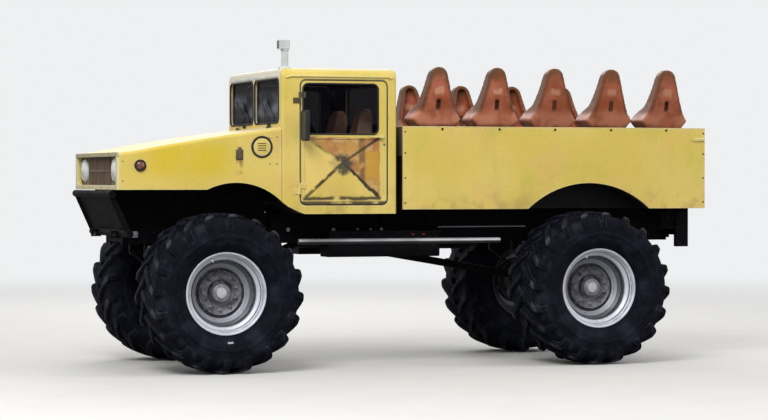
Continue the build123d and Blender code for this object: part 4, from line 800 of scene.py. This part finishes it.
def stud(bm, place, axis, radius, height, sides=6):
    """Bolt head or round boss with a chamfered top, standing on place along axis."""
    across = axis.orthogonal().normalized() * radius
    other = axis.cross(across)
    skin(bm, [ring(Vector(place) + axis * height * rise, across * share, other * share, sides)
              for share, rise in ((1, 0), (1, 0.75), (0.82, 1))], caps=True)


def side_stud(bm, x, y, z, radius, height, corners=6, sides=BOTH):
    """Stud that stands outwards on both sides of the truck, or on one."""
    for side in sides:
        stud(bm, (x, side * y, z), side * Y, radius, height, corners)


def rounded_loop(left, right, low, high, corner, steps=6):
    """Points round a rectangle with round corners, as (across, up)."""
    points = []
    left, right, low, high = left + corner, right - corner, low + corner, high - corner
    for across, up, start in ((right, high, 0), (left, high, 90), (left, low, 180), (right, low, 270)):
        for step in range(steps + 1):
            angle = radians(start + 90 * step / steps)
            points.append((across + corner * cos(angle), up + corner * sin(angle)))
    return points


def finished(bm, name, sharp=35):
    """Mesh of a bmesh, smooth but for edges sharper than so many degrees."""
    bmesh.ops.recalc_face_normals(bm, faces=bm.faces)
    mesh = bpy.data.meshes.new(name)
    bm.to_mesh(mesh)
    bm.free()
    mesh.shade_smooth()
    mesh.set_sharp_from_angle(angle=radians(sharp))
    return mesh


def piece(name, form, look, body="chassis", place=None):
    """Object made of a mesh, or of a bmesh in the truck's own frame, that rides on a body."""
    mesh = finished(form, name) if isinstance(form, bmesh.types.BMesh) else form
    if not mesh.materials:
        mesh.materials.append(looks[look])
    made = linked(name, mesh)
    if place is not None:
        made.matrix_world = place
    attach(made, body)
    return made


# Wheels, built about the origin with outwards along +Y

LUGS = 20
TYRE_RADIUS = 0.840
# radians round the wheel for each metre across
LUG_SWEEP = 0.62 / TYRE_RADIUS
# across, radius of the carcass from the middle plane to the bead
CARCASS = ((0, 0.792), (0.10, 0.7915), (0.20, 0.790), (0.29, 0.786), (0.335, 0.779), (0.362, 0.764),
           (0.380, 0.742), (0.391, 0.712), (0.397, 0.680), (0.399, 0.640), (0.3985, 0.606), (0.401, 0.602),
           (0.401, 0.594), (0.397, 0.590), (0.390, 0.555), (0.378, 0.525), (0.362, 0.498), (0.350, 0.487),
           (0.346, 0.476), (0.330, 0.462), (0.312, 0.452), (0.302, 0.440), (0.292, 0.436))
# across, radius at the tip, height, lean of the face outwards, share of the full width
LUG_STATIONS = ((-0.014, 0.838, 0.050, 0.0, 0.80), (0.0, 0.840, 0.052, 0.0, 0.95),
                (0.08, 0.840, 0.052, 0.0, 1.0), (0.17, 0.839, 0.052, 0.0, 1.0),
                (0.26, 0.837, 0.053, 0.0, 1.02), (0.325, 0.834, 0.056, 0.10, 1.05),
                (0.356, 0.827, 0.060, 0.35, 1.08), (0.378, 0.809, 0.058, 0.75, 1.10),
                (0.394, 0.779, 0.050, 1.10, 1.08), (0.403, 0.744, 0.036, 1.35, 1.02),
                (0.4055, 0.712, 0.022, 1.48, 0.95), (0.400, 0.684, 0.006, 1.57, 0.85))
LUG_HALF_WIDTH = 0.031
LUG_FOOT = 0.011
LUG_EDGE = 0.007


def lug_row(station, side, middle):
    """Cross-section of a lug: foot, rounded tip and foot."""
    across, radius, height, lean, width = station
    outwards = Vector((0, side * sin(lean), cos(lean)))
    half = LUG_HALF_WIDTH * width
    section = ((-half - LUG_FOOT, -height), (-half, -LUG_EDGE), (LUG_EDGE - half, 0), (half - LUG_EDGE, 0),
               (half, -LUG_EDGE), (half + LUG_FOOT, -height))
    tip = Vector((0, side * across, radius))
    turn = Matrix.Rotation(middle, 3, "Y")
    return [turn @ (tip + outwards * depth + X * along) for along, depth in section]


def tyre_mesh():
    bm = bmesh.new()
    carcass = [(-across, radius) for across, radius in reversed(CARCASS)] + list(CARCASS[1:])
    lathe(bm, carcass, 6 * LUGS, closed=False)
    for side, stagger in ((1, 0), (-1, pi / LUGS)):
        for base in angles(LUGS, stagger):
            rows = [lug_row(station, side, base + LUG_SWEEP * station[0]) for station in LUG_STATIONS]
            skin(bm, rows, caps=True)
    return finished(bm, "tyre", 42)


# across, radius: outer flange, stepped well seen from outside, then back along the hidden side
BARREL = ((0.292, 0.416), (0.292, 0.431), (0.296, 0.436), (0.303, 0.436), (0.3065, 0.431), (0.305, 0.421),
          (0.298, 0.413), (0.276, 0.408), (0.262, 0.404), (0.256, 0.398), (0.250, 0.392), (0.226, 0.389),
          (0.216, 0.383), (0.208, 0.368), (0.200, 0.358), (0.186, 0.353), (0.172, 0.352), (0.168, 0.347),
          (0.158, 0.346), (0.152, 0.350), (-0.195, 0.347), (-0.235, 0.401), (-0.285, 0.403), (-0.306, 0.421),
          (-0.306, 0.436), (-0.292, 0.436), (-0.292, 0.416), (-0.230, 0.415), (-0.195, 0.362),
          (0.195, 0.364), (0.230, 0.415))
DISC = ((0.020, 0.353), (0.104, 0.350), (0.108, 0.344), (0.100, 0.332), (0.052, 0.284), (0.040, 0.276),
        (0.036, 0.268), (0.036, 0.246), (0.044, 0.240), (0.056, 0.236), (0.060, 0.229), (0.056, 0.221),
        (0.046, 0.214), (0.042, 0.170), (0.046, 0.152), (0.050, 0.145), (0.044, 0.139), (0.040, 0.115),
        (0.056, 0.108), (0.060, 0.102), (0.098, 0.099), (0.108, 0.095), (0.114, 0.086), (0.112, 0.070),
        (0.116, 0.066), (0.121, 0.056), (0.123, 0.030), (0.123, 0.001), (-0.110, 0.001), (-0.110, 0.200),
        (-0.104, 0.205), (0.010, 0.205), (0.020, 0.212))
RIM_SIDES = 96
WHEEL_BOLTS = 10
WHEEL_BOLT_CIRCLE = 0.180
WHEEL_BOLT_SEAT = 0.042
HUB_BOLTS = 8
HUB_BOLT_CIRCLE = 0.082
HUB_BOLT_SEAT = 0.112
VALVE_FOOT = turn_point(0.262, 0.398, 0.4)


def rim_mesh():
    bm = bmesh.new()
    lathe(bm, BARREL, RIM_SIDES)
    lathe(bm, DISC, RIM_SIDES)
    return finished(bm, "rim", 50)


def wheel_bolt_mesh():
    """Wheel nuts on their washers and studs, hub bolts and the valve."""
    bm = bmesh.new()
    for angle in angles(WHEEL_BOLTS):
        place = turn_point(WHEEL_BOLT_SEAT, WHEEL_BOLT_CIRCLE, angle)
        for radius, height, sides in ((0.024, 0.006, 16), (0.018, 0.026, 6), (0.009, 0.042, 10)):
            stud(bm, place, Y, radius, height, sides)
    for angle in angles(HUB_BOLTS, pi / HUB_BOLTS):
        stud(bm, turn_point(HUB_BOLT_SEAT, HUB_BOLT_CIRCLE, angle), Y, 0.009, 0.010)
    bend, tip = Vector((-0.012, 0.016, -0.028)), Vector((-0.014, 0.034, -0.034))
    tube(bm, (VALVE_FOOT, VALVE_FOOT + bend, VALVE_FOOT + tip), 0.006)
    return finished(bm, "wheel_bolts", 30)


# across, radius round a chalk mark that lies on the tyre's wall
MARK_SECTION = ((0.3620, 0.5010), (0.3654, 0.4990), (0.3766, 0.5180), (0.3732, 0.5200))
MARK_ANGLE = pi + 0.05


def chalk_mark_mesh():
    bm = bmesh.new()
    skin(bm, [[turn_point(across, radius, MARK_ANGLE + 0.02 * step) for across, radius in MARK_SECTION]
              for step in range(-3, 4)], caps=True)
    return finished(bm, "chalk_mark")


def add_wheels():
    tyre, rim, bolts = tyre_mesh(), rim_mesh(), wheel_bolt_mesh()
    for end in ("front", "rear"):
        for name, side in SIDES:
            corner = f"{end}_{name}"
            body = f"wheel_{corner}"
            place = Matrix.Translation(joints[f"roll_{corner}"])
            if side < 0:
                place = place @ Matrix.Rotation(pi, 4, "Z")
            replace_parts(piece(f"{body}_tyre", tyre, "tyre", body, place), f"tyre_{corner}")
            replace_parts(piece(f"{body}_rim", rim, "rim", body, place), f"rim_{corner}")
            piece(f"{body}_bolts", bolts, "rim", body, place)
            if corner == "front_left":
                piece("chalk_mark", chalk_mark_mesh(), "damper", body, place)


# Seats

MOULDING_VOXEL = 0.014
MOULDING_SMOOTHING = 0.5
MOULDING_ROUNDS = 7
SEAT_BACK_Y = 1.000


def add_moulded(name, node, look):
    """Copy of a CAD node, remeshed and smoothed so that its edges roll over as in a moulding."""
    source = linked("moulding", nodes[node].data.copy())
    remesh = source.modifiers.new("remesh", "REMESH")
    remesh.mode = "VOXEL"
    remesh.voxel_size = MOULDING_VOXEL
    smooth = source.modifiers.new("smooth", "SMOOTH")
    smooth.factor = MOULDING_SMOOTHING
    smooth.iterations = MOULDING_ROUNDS
    bpy.context.view_layer.update()
    mesh = bpy.data.meshes.new_from_object(source.evaluated_get(bpy.context.evaluated_depsgraph_get()))
    bpy.data.objects.remove(source)
    mesh.shade_smooth()
    mesh.materials.clear()
    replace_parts(piece(name, mesh, look), node)


def add_seat_pads():
    """Dark pads in the belt slots of the bed seats."""
    pads = bmesh.new()
    for side, first, pitch, base, count in SEAT_ROWS:
        for number in range(count):
            x = at(first + pitch * number)
            side_block(pads, x - 0.020, x + 0.020, SEAT_BACK_Y - 0.078, SEAT_BACK_Y - 0.062,
                       base + 0.195, base + 0.315, 0.003, (side,))
    piece("seat_pads", pads, "seat")


# Nose

HEADLAMP_Y = 0.735
HEADLAMP_Z = 2.132
INDICATOR_Y = 0.895
LAMP_SCREW_CIRCLE = 0.119
LAMP_SCREW_ANGLES = (0.6, 2.2, 3.9, 5.5)
# forwards of the face, radius
LAMP_RING = ((-0.004, 0.126), (0.014, 0.126), (0.020, 0.122), (0.022, 0.114), (0.030, 0.112), (0.036, 0.107),
             (0.034, 0.099), (0.026, 0.097), (-0.030, 0.097), (-0.030, 0.105))
LAMP_LENS = ((0.024, 0.098), (0.034, 0.088), (0.043, 0.066), (0.048, 0.036), (0.0495, 0.001),
             (-0.060, 0.001), (-0.052, 0.060), (-0.020, 0.098))


def add_headlamps():
    """Rings with their screws, lenses and the dark indicators beside them."""
    rings, lenses, indicators = blanks(3)
    side_turned(rings, LAMP_RING, FACE_X, HEADLAMP_Y, HEADLAMP_Z, -X)
    side_turned(lenses, LAMP_LENS, FACE_X, HEADLAMP_Y, HEADLAMP_Z, -X)
    for side in BOTH:
        for angle in LAMP_SCREW_ANGLES:
            y = side * HEADLAMP_Y + LAMP_SCREW_CIRCLE * cos(angle)
            z = HEADLAMP_Z + LAMP_SCREW_CIRCLE * sin(angle)
            stud(rings, (FACE_X - 0.012, y, z), -X, 0.006, 0.006)
    side_block(indicators, FACE_X - 0.022, FACE_X, INDICATOR_Y - 0.026, INDICATOR_Y + 0.026,
               HEADLAMP_Z - 0.100, HEADLAMP_Z + 0.100, 0.006)
    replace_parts(piece("headlamp_rings", rings, "white"), "lamps")
    piece("headlamp_lenses", lenses, "lamp")
    piece("indicator_lenses", indicators, "dark_lens")


MARKER_PLACE = (at(-0.841), 1.0165, 2.180)
# outwards of the skin, radius
MARKER_RING = ((0.0, 0.046), (0.016, 0.046), (0.022, 0.050), (0.022, 0.057), (0.017, 0.062), (-0.010, 0.062),
               (-0.010, 0.046))
MARKER_LENS = ((-0.008, 0.048), (0.014, 0.046), (0.022, 0.038), (0.027, 0.022), (0.029, 0.001),
               (-0.008, 0.001))


def add_markers():
    for name, profile, look in (("rings", MARKER_RING, "rubber"), ("lenses", MARKER_LENS, "amber")):
        markers = bmesh.new()
        side_turned(markers, profile, *MARKER_PLACE)
        piece(f"marker_{name}", markers, look)


# back from the nose's front, height of the nose's top line
HOOD_LINE = ((0.0, 2.317), (0.185, 2.338), (0.556, 2.408), (1.194, 2.510), (1.777, 2.590))
NOSE_LENGTH = HOOD_LINE[-1][0]
NOSE_FRONT_HALF_WIDTH = 1.012


def hood_z(x):
    """Height of the nose's top line at a place along the truck."""
    back = x - NOSE_X
    for (start, low), (end, high) in zip(HOOD_LINE, HOOD_LINE[1:]):
        if back <= end:
            return low + (high - low) * (back - start) / (end - start)
    return HOOD_LINE[-1][1]


def skin_y(x):
    """Half width of the nose at a place along the truck."""
    return NOSE_FRONT_HALF_WIDTH + (HALF_WIDTH - NOSE_FRONT_HALF_WIDTH) * (x - NOSE_X) / NOSE_LENGTH


VENT_X = at(0.475)
VENT_Z = 2.378
VENT_BARS_Z = (2.342, 2.366, 2.390, 2.414)
VENT_RING = ((-0.004, 0.096), (0.006, 0.096), (0.010, 0.101), (0.010, 0.112), (0.005, 0.118),
             (-0.004, 0.118))
VENT_COVER = ((-0.004, 0.090), (0.003, 0.088), (0.005, 0.080), (0.006, 0.040), (0.006, 0.001),
              (-0.004, 0.001))
LATCH_X = at(0.229)
LATCH_Z = 2.300
FENDER_SCREWS_X = (NOSE_X + 0.06, at(0.56), at(0.64))
FACE_SCREWS_Y = (-0.96, -0.62, -0.30, 0.30, 0.62, 0.96)


def add_nose_fittings():
    """Round vent covers with their bars, hood latches and the screws of the face and the fenders."""
    rings, covers, latches, screws = blanks(4)
    y = skin_y(VENT_X)
    side_turned(rings, VENT_RING, VENT_X, y, VENT_Z)
    side_turned(covers, VENT_COVER, VENT_X, y, VENT_Z)
    for z in VENT_BARS_Z:
        side_block(rings, VENT_X - 0.045, VENT_X + 0.045, y, y + 0.009, z - 0.004, z + 0.004, 0.001)
    x, y, z = LATCH_X, skin_y(LATCH_X), LATCH_Z
    side_block(latches, x - 0.040, x + 0.040, y - 0.004, y + 0.010, z - 0.06, z + 0.05, 0.004)
    side_block(latches, x - 0.018, x + 0.018, y + 0.006, y + 0.024, z - 0.05, z + 0.075, 0.004)
    side_stud(latches, x, y + 0.010, z - 0.04, 0.014, 0.018, 12)
    for x in FENDER_SCREWS_X:
        for z in (hood_z(x) - 0.10, 2.02 if x < at(0) else 2.20):
            side_stud(screws, x, skin_y(x) - 0.001, z, 0.009, 0.006)
    for z in (1.95, 2.30):
        for y in FACE_SCREWS_Y:
            stud(screws, (NOSE_X + 0.001, y, z), -X, 0.008, 0.006)
    piece("vent_rings", rings, "rubber")
    piece("vent_covers", covers, "yellow")
    piece("hood_latches", latches, "grille")
    piece("nose_screws", screws, "bolt")


# Cab

DOOR_FRONT_X = at(0.889)
DOOR_REAR_X = at(1.890)
DOOR_LOW_Z = 1.755
DOOR_HIGH_Z = 3.105
# from and to across or along, then from and to in height
DOOR_WINDOW = (at(0.929), at(1.777), 2.518, 3.057)
WINDSHIELD = (0.030, 0.950, 2.640, 3.110)
REAR_WINDOW = (-0.620, 0.620, 2.640, 3.060)
CORNER = 0.060
SEAL_RADIUS = 0.011
EDGE_GAP = 0.012


def add_seals():
    """Rubber round the windows and round the doors' edges."""
    cab = bmesh.new()
    near, far, low, high = WINDSHIELD
    for side in BOTH:
        loop = rounded_loop(*sorted((side * near, side * far)), low, high, CORNER)
        tube(cab, [(CAB_FRONT_X - 0.001, y, z) for y, z in loop], SEAL_RADIUS, closed=True)
    loop = rounded_loop(*REAR_WINDOW, CORNER)
    tube(cab, [(CAB_REAR_X + 0.001, y, z) for y, z in loop], SEAL_RADIUS, closed=True)
    piece("cab_window_seals", cab, "rubber")
    edge = (DOOR_FRONT_X + EDGE_GAP, DOOR_REAR_X - EDGE_GAP, DOOR_LOW_Z + EDGE_GAP, DOOR_HIGH_Z - EDGE_GAP)
    for name, side in SIDES:
        door = bmesh.new()
        for outline, radius in ((DOOR_WINDOW, 0.010), (edge, 0.006)):
            loop = rounded_loop(*outline, CORNER)
            tube(door, [(x, side * (HALF_WIDTH - 0.001), z) for x, z in loop], radius, closed=True)
        piece(f"door_seal_{name}", door, "rubber", f"door_{name}")


GUTTER_Z = 3.135
GUTTER_END_Z = 3.118
# half width, from and to in height
HEADER = (0.930, 3.128, 3.158)


def add_gutters():
    """Drip rail over each door, and the pale header over the windshield."""
    rails, header = blanks(2)
    for side in BOTH:
        y = side * (HALF_WIDTH + 0.004)
        tube(rails, [(CAB_FRONT_X + 0.05, y, GUTTER_END_Z), (CAB_FRONT_X + 0.10, y, GUTTER_Z),
                     (CAB_REAR_X - 0.10, y, GUTTER_Z), (CAB_REAR_X - 0.05, y, GUTTER_END_Z)], 0.012)
    piece("drip_rails", rails, "yellow")
    half, low, high = HEADER
    block(header, (CAB_FRONT_X - 0.006, -half, low), (CAB_FRONT_X + 0.004, half, high), 0.003)
    piece("windshield_header", header, "white")


WIPER_PIVOTS_Y = (-0.62, 0.34)
WIPER_PIVOT_Z = 2.615
# forwards of the arm's plane, across from the pivot, height
WIPER_ARM = ((0, 0, WIPER_PIVOT_Z), (0.006, 0.10, 2.72), (0, 0.19, 2.82))
WIPER_BLADE = ((-0.004, 0.02, 2.70), (-0.004, 0.19, 2.82), (-0.004, 0.30, 2.90))


def add_wipers():
    """Pivot, arm and blade of each wiper, leaning towards the right."""
    wipers = bmesh.new()
    arm_x = CAB_FRONT_X - 0.022
    for pivot in WIPER_PIVOTS_Y:
        stud(wipers, (CAB_FRONT_X + 0.002, pivot, WIPER_PIVOT_Z), -X, 0.016, 0.034, 16)
        for line, radius, flat in ((WIPER_ARM, 0.006, 1.0), (WIPER_BLADE, 0.007, 1.6)):
            tube(wipers, [(arm_x - x, pivot + y, z) for x, y, z in line], radius, flat=flat)
    piece("wipers", wipers, "rubber")


MIRROR_X = DOOR_FRONT_X + 0.005
# from and to outwards, from and to in height
MIRROR = (HALF_WIDTH + 0.060, HALF_WIDTH + 0.220, 2.450, 2.760)
CARD_Y = HALF_WIDTH - 0.040
WINDER = (at(1.16), 2.33)
# from and to along, outwards and up, then how much the edges are rounded
DOOR_CARD = (at(0.96), at(1.82), CARD_Y - 0.010, CARD_Y + 0.002, 1.83, 2.49, 0.004)
ARMREST = (at(1.10), at(1.55), CARD_Y - 0.050, CARD_Y - 0.006, 2.16, 2.215, 0.015)
DOOR_HANDLE = (at(1.60), at(1.72), CARD_Y - 0.030, CARD_Y - 0.018, 2.40, 2.42, 0.004)
# place, radius, height, corners
DOOR_LOCK = (at(1.845), HALF_WIDTH - 0.001, 2.41, 0.014, 0.007, 16)


def add_door_fittings():
    """Mirror glass and rim, inner trim panel with armrest, window winder, handle and lock."""
    near, far, low, high = MIRROR
    for name, side in SIDES:
        mirror, rims, card, handles = blanks(4)
        side_block(mirror, MIRROR_X + 0.036, MIRROR_X + 0.041, near + 0.012, far - 0.012, low + 0.014,
                   high - 0.014, 0.002, (side,))
        loop = rounded_loop(*sorted((side * near, side * far)), low, high, 0.02)
        for x in (MIRROR_X + 0.034, MIRROR_X + 0.004):
            tube(rims, [(x, y, z) for y, z in loop], 0.009, closed=True)
        side_block(card, *DOOR_CARD, (side,))
        side_block(card, *ARMREST, (side,))
        x, z = WINDER
        pivot, grip, inwards = Vector((x, side * (CARD_Y - 0.010), z)), X * 0.09 - Z * 0.04, -side * Y
        stud(handles, pivot, inwards, 0.022, 0.014, 20)
        tube(handles, [pivot + inwards * 0.012, pivot + grip + inwards * 0.018], 0.008)
        stud(handles, pivot + grip + inwards * 0.012, inwards, 0.012, 0.030, 12)
        side_block(handles, *DOOR_HANDLE, (side,))
        side_stud(handles, *DOOR_LOCK, (side,))
        for kind, form, look in (("mirror_glass", mirror, "mirror"), ("mirror_rim", rims, "rubber"),
                                 ("door_card", card, "trim"), ("door_handles", handles, "bolt")):
            piece(f"{kind}_{name}", form, look, f"door_{name}")


DASH_X = CAB_FRONT_X + 0.260
FACING_REAR = Matrix.Rotation(-pi / 2, 4, "Z")
# across, height, radius
GAUGES = ((-0.62, 2.52, 0.045), (-0.50, 2.53, 0.055), (-0.37, 2.53, 0.055), (-0.25, 2.52, 0.045),
          (-0.12, 2.51, 0.032))
GLOVE_BOX = ((DASH_X - 0.004, 0.30, 2.43), (DASH_X + 0.010, 0.80, 2.56))
GLOVE_BOX_KNOB = (DASH_X + 0.008, 0.55, 2.53)
COLUMN_START = Vector((CAB_FRONT_X + 0.250, -0.450, 2.420))
COLUMN_END = Vector((CAB_FRONT_X + 0.470, -0.450, 2.560))
STEERING_RADIUS = 0.191
PEDALS_Y = (-0.62, -0.46, -0.30)
# back from the cab's front, height
PEDAL_ARM = ((0.07, 1.95), (0.20, 1.88), (0.24, 1.85))
# place across, lean across from foot to knob
LEVERS = ((-0.05, 0.05), (0.06, -0.03))


def add_steering_wheel(bm):
    """Round rim and boss at the column's upper end."""
    way = (COLUMN_END - COLUMN_START).normalized()
    centre = COLUMN_END + way * 0.014
    across = way.orthogonal().normalized() * STEERING_RADIUS
    tube(bm, ring(centre, across, way.cross(across), 48), 0.017, 12, closed=True)
    stud(bm, centre, way, 0.045, 0.030, 24)


def add_cab_inside():
    """Gauges, glove box, steering wheel, pedals and gear levers."""
    gauges, controls, metal = blanks(3)
    for y, z, radius in GAUGES:
        bezel = ((-0.004, radius), (0.010, radius), (0.012, radius - 0.006), (-0.004, radius - 0.006))
        lathe(metal, bezel, 32, place=Matrix.Translation((DASH_X, y, z)) @ FACING_REAR)
        stud(gauges, (DASH_X, y, z), X, radius - 0.005, 0.006, 32)
    block(controls, *GLOVE_BOX, 0.006)
    stud(metal, GLOVE_BOX_KNOB, X, 0.014, 0.012, 16)
    add_steering_wheel(controls)
    x = CAB_FRONT_X
    for y in PEDALS_Y:
        tube(metal, [(x + back, y, z) for back, z in PEDAL_ARM], 0.008)
        block(controls, (x + 0.215, y - 0.035, 1.80), (x + 0.235, y + 0.035, 1.90), 0.006)
    for y, lean in LEVERS:
        foot = Vector((x + 0.52, y, 1.706))
        knob = foot + Vector((0.09, lean, 0.46))
        tube(metal, [foot, foot + X * 0.02 + Z * 0.20, knob], 0.009)
        stud(controls, knob - Z * 0.02, Z, 0.026, 0.05, 16)
        stud(controls, foot, Z, 0.055, 0.05, 16)
    piece("dash_gauges", gauges, "dial")
    piece("cab_controls", controls, "trim")
    piece("cab_metal", metal, "bolt")


PIPE_FOOT = Vector((at(0.768), -0.909, ROOF_Z))
PIPE_COLLAR_Z = 3.405
MOUTH_X = PIPE_FOOT.x - 0.075
MOUTH_HALF_WIDTH = 0.036
BAR = 0.004
MOUTH_BARS_Z = (3.441, 3.457, 3.473, 3.489, 3.505)


def add_pipe_fittings():
    """Bolted flange under the roof pipe, its collar and the bars in the mouth of its head."""
    flange, mouth = blanks(2)
    x, y, _ = PIPE_FOOT
    stud(flange, PIPE_FOOT - Z * 0.004, Z, 0.072, 0.018, 32)
    for place in ring(PIPE_FOOT + Z * 0.012, X * 0.056, Y * 0.056, 6):
        stud(flange, place, Z, 0.007, 0.008)
    stud(flange, (x, y, PIPE_COLLAR_Z), Z, 0.044, 0.022, 32)
    piece("roof_pipe_flange", flange, "white")
    for z in MOUTH_BARS_Z:
        block(mouth, (MOUTH_X - BAR, y - MOUTH_HALF_WIDTH, z - BAR),
              (MOUTH_X + BAR, y + MOUTH_HALF_WIDTH, z + BAR), 0.0015)
    piece("roof_pipe_mouth", mouth, "rubber")


# Bed

EDGE_BOLTS_X = (0.238, 0.906, 1.565, 2.240, 2.915)
CORNER_BOLTS_Z = (1.78, 2.05, 2.32, 2.55)
GATE_LATCH_Z = 2.48
BUMPER_REAR_X = at(5.630)
TAIL_LAMP_Z = 1.460
# place across, radius
TAIL_LAMPS = ((0.640, 0.050), (0.520, 0.040))
GATE_RIBS_Y = (-0.62, 0, 0.62)
GATE_RIBS_Z = (1.84, 2.50)
RIB_HALF_WIDTH = 0.030
RIBS_LOW_Z = 1.80
RIBS_HIGH_Z = 2.54
RIBS_REACH = 0.94


def add_bed_fittings():
    """Cap rails, bolts along the top and the corners, gate latches and tail lamps."""
    bolts, caps, latches, lamps = blanks(4)
    for x in EDGE_BOLTS_X:
        side_stud(bolts, x, HALF_WIDTH, BED_TOP_Z - 0.022, 0.013, 0.009)
    for z in CORNER_BOLTS_Z:
        for x in (BED_REAR_X - 0.020, BED_FRONT_X + 0.020):
            side_stud(bolts, x, HALF_WIDTH, z, 0.009, 0.006)
    side_block(caps, BED_FRONT_X, BED_REAR_X, HALF_WIDTH - 0.042, HALF_WIDTH + 0.002,
               BED_TOP_Z - 0.004, BED_TOP_Z + 0.006, 0.002)
    side_block(latches, BED_REAR_X - 0.150, BED_REAR_X - 0.010, HALF_WIDTH, HALF_WIDTH + 0.012,
               GATE_LATCH_Z - 0.02, GATE_LATCH_Z + 0.02, 0.004)
    side_stud(latches, BED_REAR_X - 0.030, HALF_WIDTH, GATE_LATCH_Z, 0.016, 0.026, 16)
    for y, radius in TAIL_LAMPS:
        dome = ((0, 0.001), (0.014, 0.001), (0.012, radius * 0.6), (0.004, radius), (0, radius))
        side_turned(lamps, dome, BUMPER_REAR_X, y, TAIL_LAMP_Z, X, 32)
    piece("bed_bolts", bolts, "chassis")
    piece("bed_caps", caps, "yellow")
    piece("gate_latches", latches, "yellow")
    piece("rear_lamps", lamps, "red")


def add_gate_ribs():
    """Pressed ribs up and across the tailgate's outer side."""
    ribs = bmesh.new()
    near, far = BED_REAR_X - 0.002, BED_REAR_X + 0.014
    for y in GATE_RIBS_Y:
        block(ribs, (near, y - RIB_HALF_WIDTH, RIBS_LOW_Z), (far, y + RIB_HALF_WIDTH, RIBS_HIGH_Z), 0.006)
    for z in GATE_RIBS_Z:
        block(ribs, (near, -RIBS_REACH, z - RIB_HALF_WIDTH), (far, RIBS_REACH, z + RIB_HALF_WIDTH), 0.006)
    piece("gate_ribs", ribs, "yellow", "tailgate")


# Running gear

RAIL_Y = 0.395
CLAMP_Y = (0.303, 0.387)
CLAMP_LOW_Z = 0.740
CLAMP_HIGH_Z = 1.012
PLATE_Z = 0.752
DIFFERENTIAL_REACH = 0.168
DIFFERENTIAL_CIRCLE = 0.090
# back from the front axle
RAIL_BOLTS = (0.76, 1.00, 1.95, 2.30, 2.75, 3.35, 3.90, 4.50, 5.10)
RAIL_BOLTS_Z = (1.385, 1.465)
# back from the front axle, height, radius
RAIL_BOSSES = ((0.957, 1.485, 0.022), (1.478, 1.481, 0.022), (1.757, 1.486, 0.013), (1.908, 1.486, 0.013),
               (2.035, 1.486, 0.017), (-0.590, 1.300, 0.022))
BRAKE_LINE = (at(2.70), at(3.75), 1.507)
# back from the front axle
REFLECTORS = (2.29, 2.41)
SIDE_BOX_Y = 0.725
# from and to along, outwards and up, then how much the edges are rounded
STEERING_BOX = (at(-0.805), at(-0.725), RAIL_Y - 0.002, RAIL_Y + 0.060, 1.410, 1.480, 0.016)
BUMPER_BRACKET = (at(5.300), at(5.482), 0.662, 0.676, 1.470, BED_BOTTOM_Z - 0.001, 0.003)
# place across, radius, height and corners of the steering box's cap and nut
STEERING_CAPS = ((0.453, 0.032, 0.014, 24), (0.465, 0.014, 0.012, 6))
# back from the front axle, height
BRACKET_BOLTS = ((5.330, 1.670), (5.330, 1.510), (5.450, 1.600))


def add_axle_bolts(bm):
    """Spring clamps with their plates, and the ring of bolts on each axle's differential."""
    for axle_x, outwards in ((FRONT_AXLE_X, -1), (REAR_AXLE_X, 1)):
        for x in (axle_x - 0.050, axle_x + 0.050):
            for side in BOTH:
                near, far = (side * y for y in CLAMP_Y)
                tube(bm, [(x, near, CLAMP_LOW_Z), (x, near, CLAMP_HIGH_Z), (x, far, CLAMP_HIGH_Z),
                          (x, far, CLAMP_LOW_Z)], 0.010)
                for y in (near, far):
                    stud(bm, (x, y, PLATE_Z), -Z, 0.017, 0.020)
        side_block(bm, axle_x - 0.080, axle_x + 0.080, 0.290, 0.400, PLATE_Z, PLATE_Z + 0.014, 0.004)
        centre = Vector((axle_x + outwards * DIFFERENTIAL_REACH, 0, AXLE_Z))
        for place in ring(centre, Y * DIFFERENTIAL_CIRCLE, Z * DIFFERENTIAL_CIRCLE, 12):
            stud(bm, place, outwards * X, 0.011, 0.012)


def add_running_gear():
    """Bolts and clamps, brake lines, reflectors, the steering box and the bumper's brackets."""
    bolts, fittings, reflectors, brackets = blanks(4)
    add_axle_bolts(bolts)
    for back in RAIL_BOLTS:
        for z in RAIL_BOLTS_Z:
            side_stud(bolts, at(back), RAIL_Y, z, 0.012, 0.010)
    for back, z, radius in RAIL_BOSSES:
        side_stud(fittings, at(back), RAIL_Y, z, radius, 0.018, 12)
    for back in REFLECTORS:
        side_stud(reflectors, at(back), SIDE_BOX_Y, 1.440, 0.017, 0.008, 24)
    x_from, x_to, z = BRAKE_LINE
    for y in (-RAIL_Y - 0.010, RAIL_Y + 0.010):
        tube(fittings, [(x_from, y, z), (x_to, y, z)], 0.007)
    side_block(fittings, *STEERING_BOX, (-1,))
    for y, radius, height, corners in STEERING_CAPS:
        side_stud(fittings, at(-0.768), y, 1.448, radius, height, corners, (-1,))
    side_block(brackets, *BUMPER_BRACKET)
    for back, z in BRACKET_BOLTS:
        side_stud(brackets, at(back), 0.675, z, 0.013, 0.012)
    piece("chassis_bolts", bolts, "axle")
    piece("steering_box", fittings, "damper")
    piece("side_reflectors", reflectors, "red")
    piece("bumper_brackets", brackets, "chassis")


# Build

looks = make_materials()
add_camera()
add_world()
add_lamps()
add_floor()
dress_nodes()
add_wheels()
add_moulded("bed_seat_shells", "bed_seats", "seat")
add_moulded("cab_seat_shells", "cab_seats", "cab_seat")
add_seat_pads()
add_headlamps()
add_markers()
add_nose_fittings()
add_seals()
add_gutters()
add_wipers()
add_door_fittings()
add_cab_inside()
add_pipe_fittings()
add_bed_fittings()
add_gate_ribs()
add_running_gear()
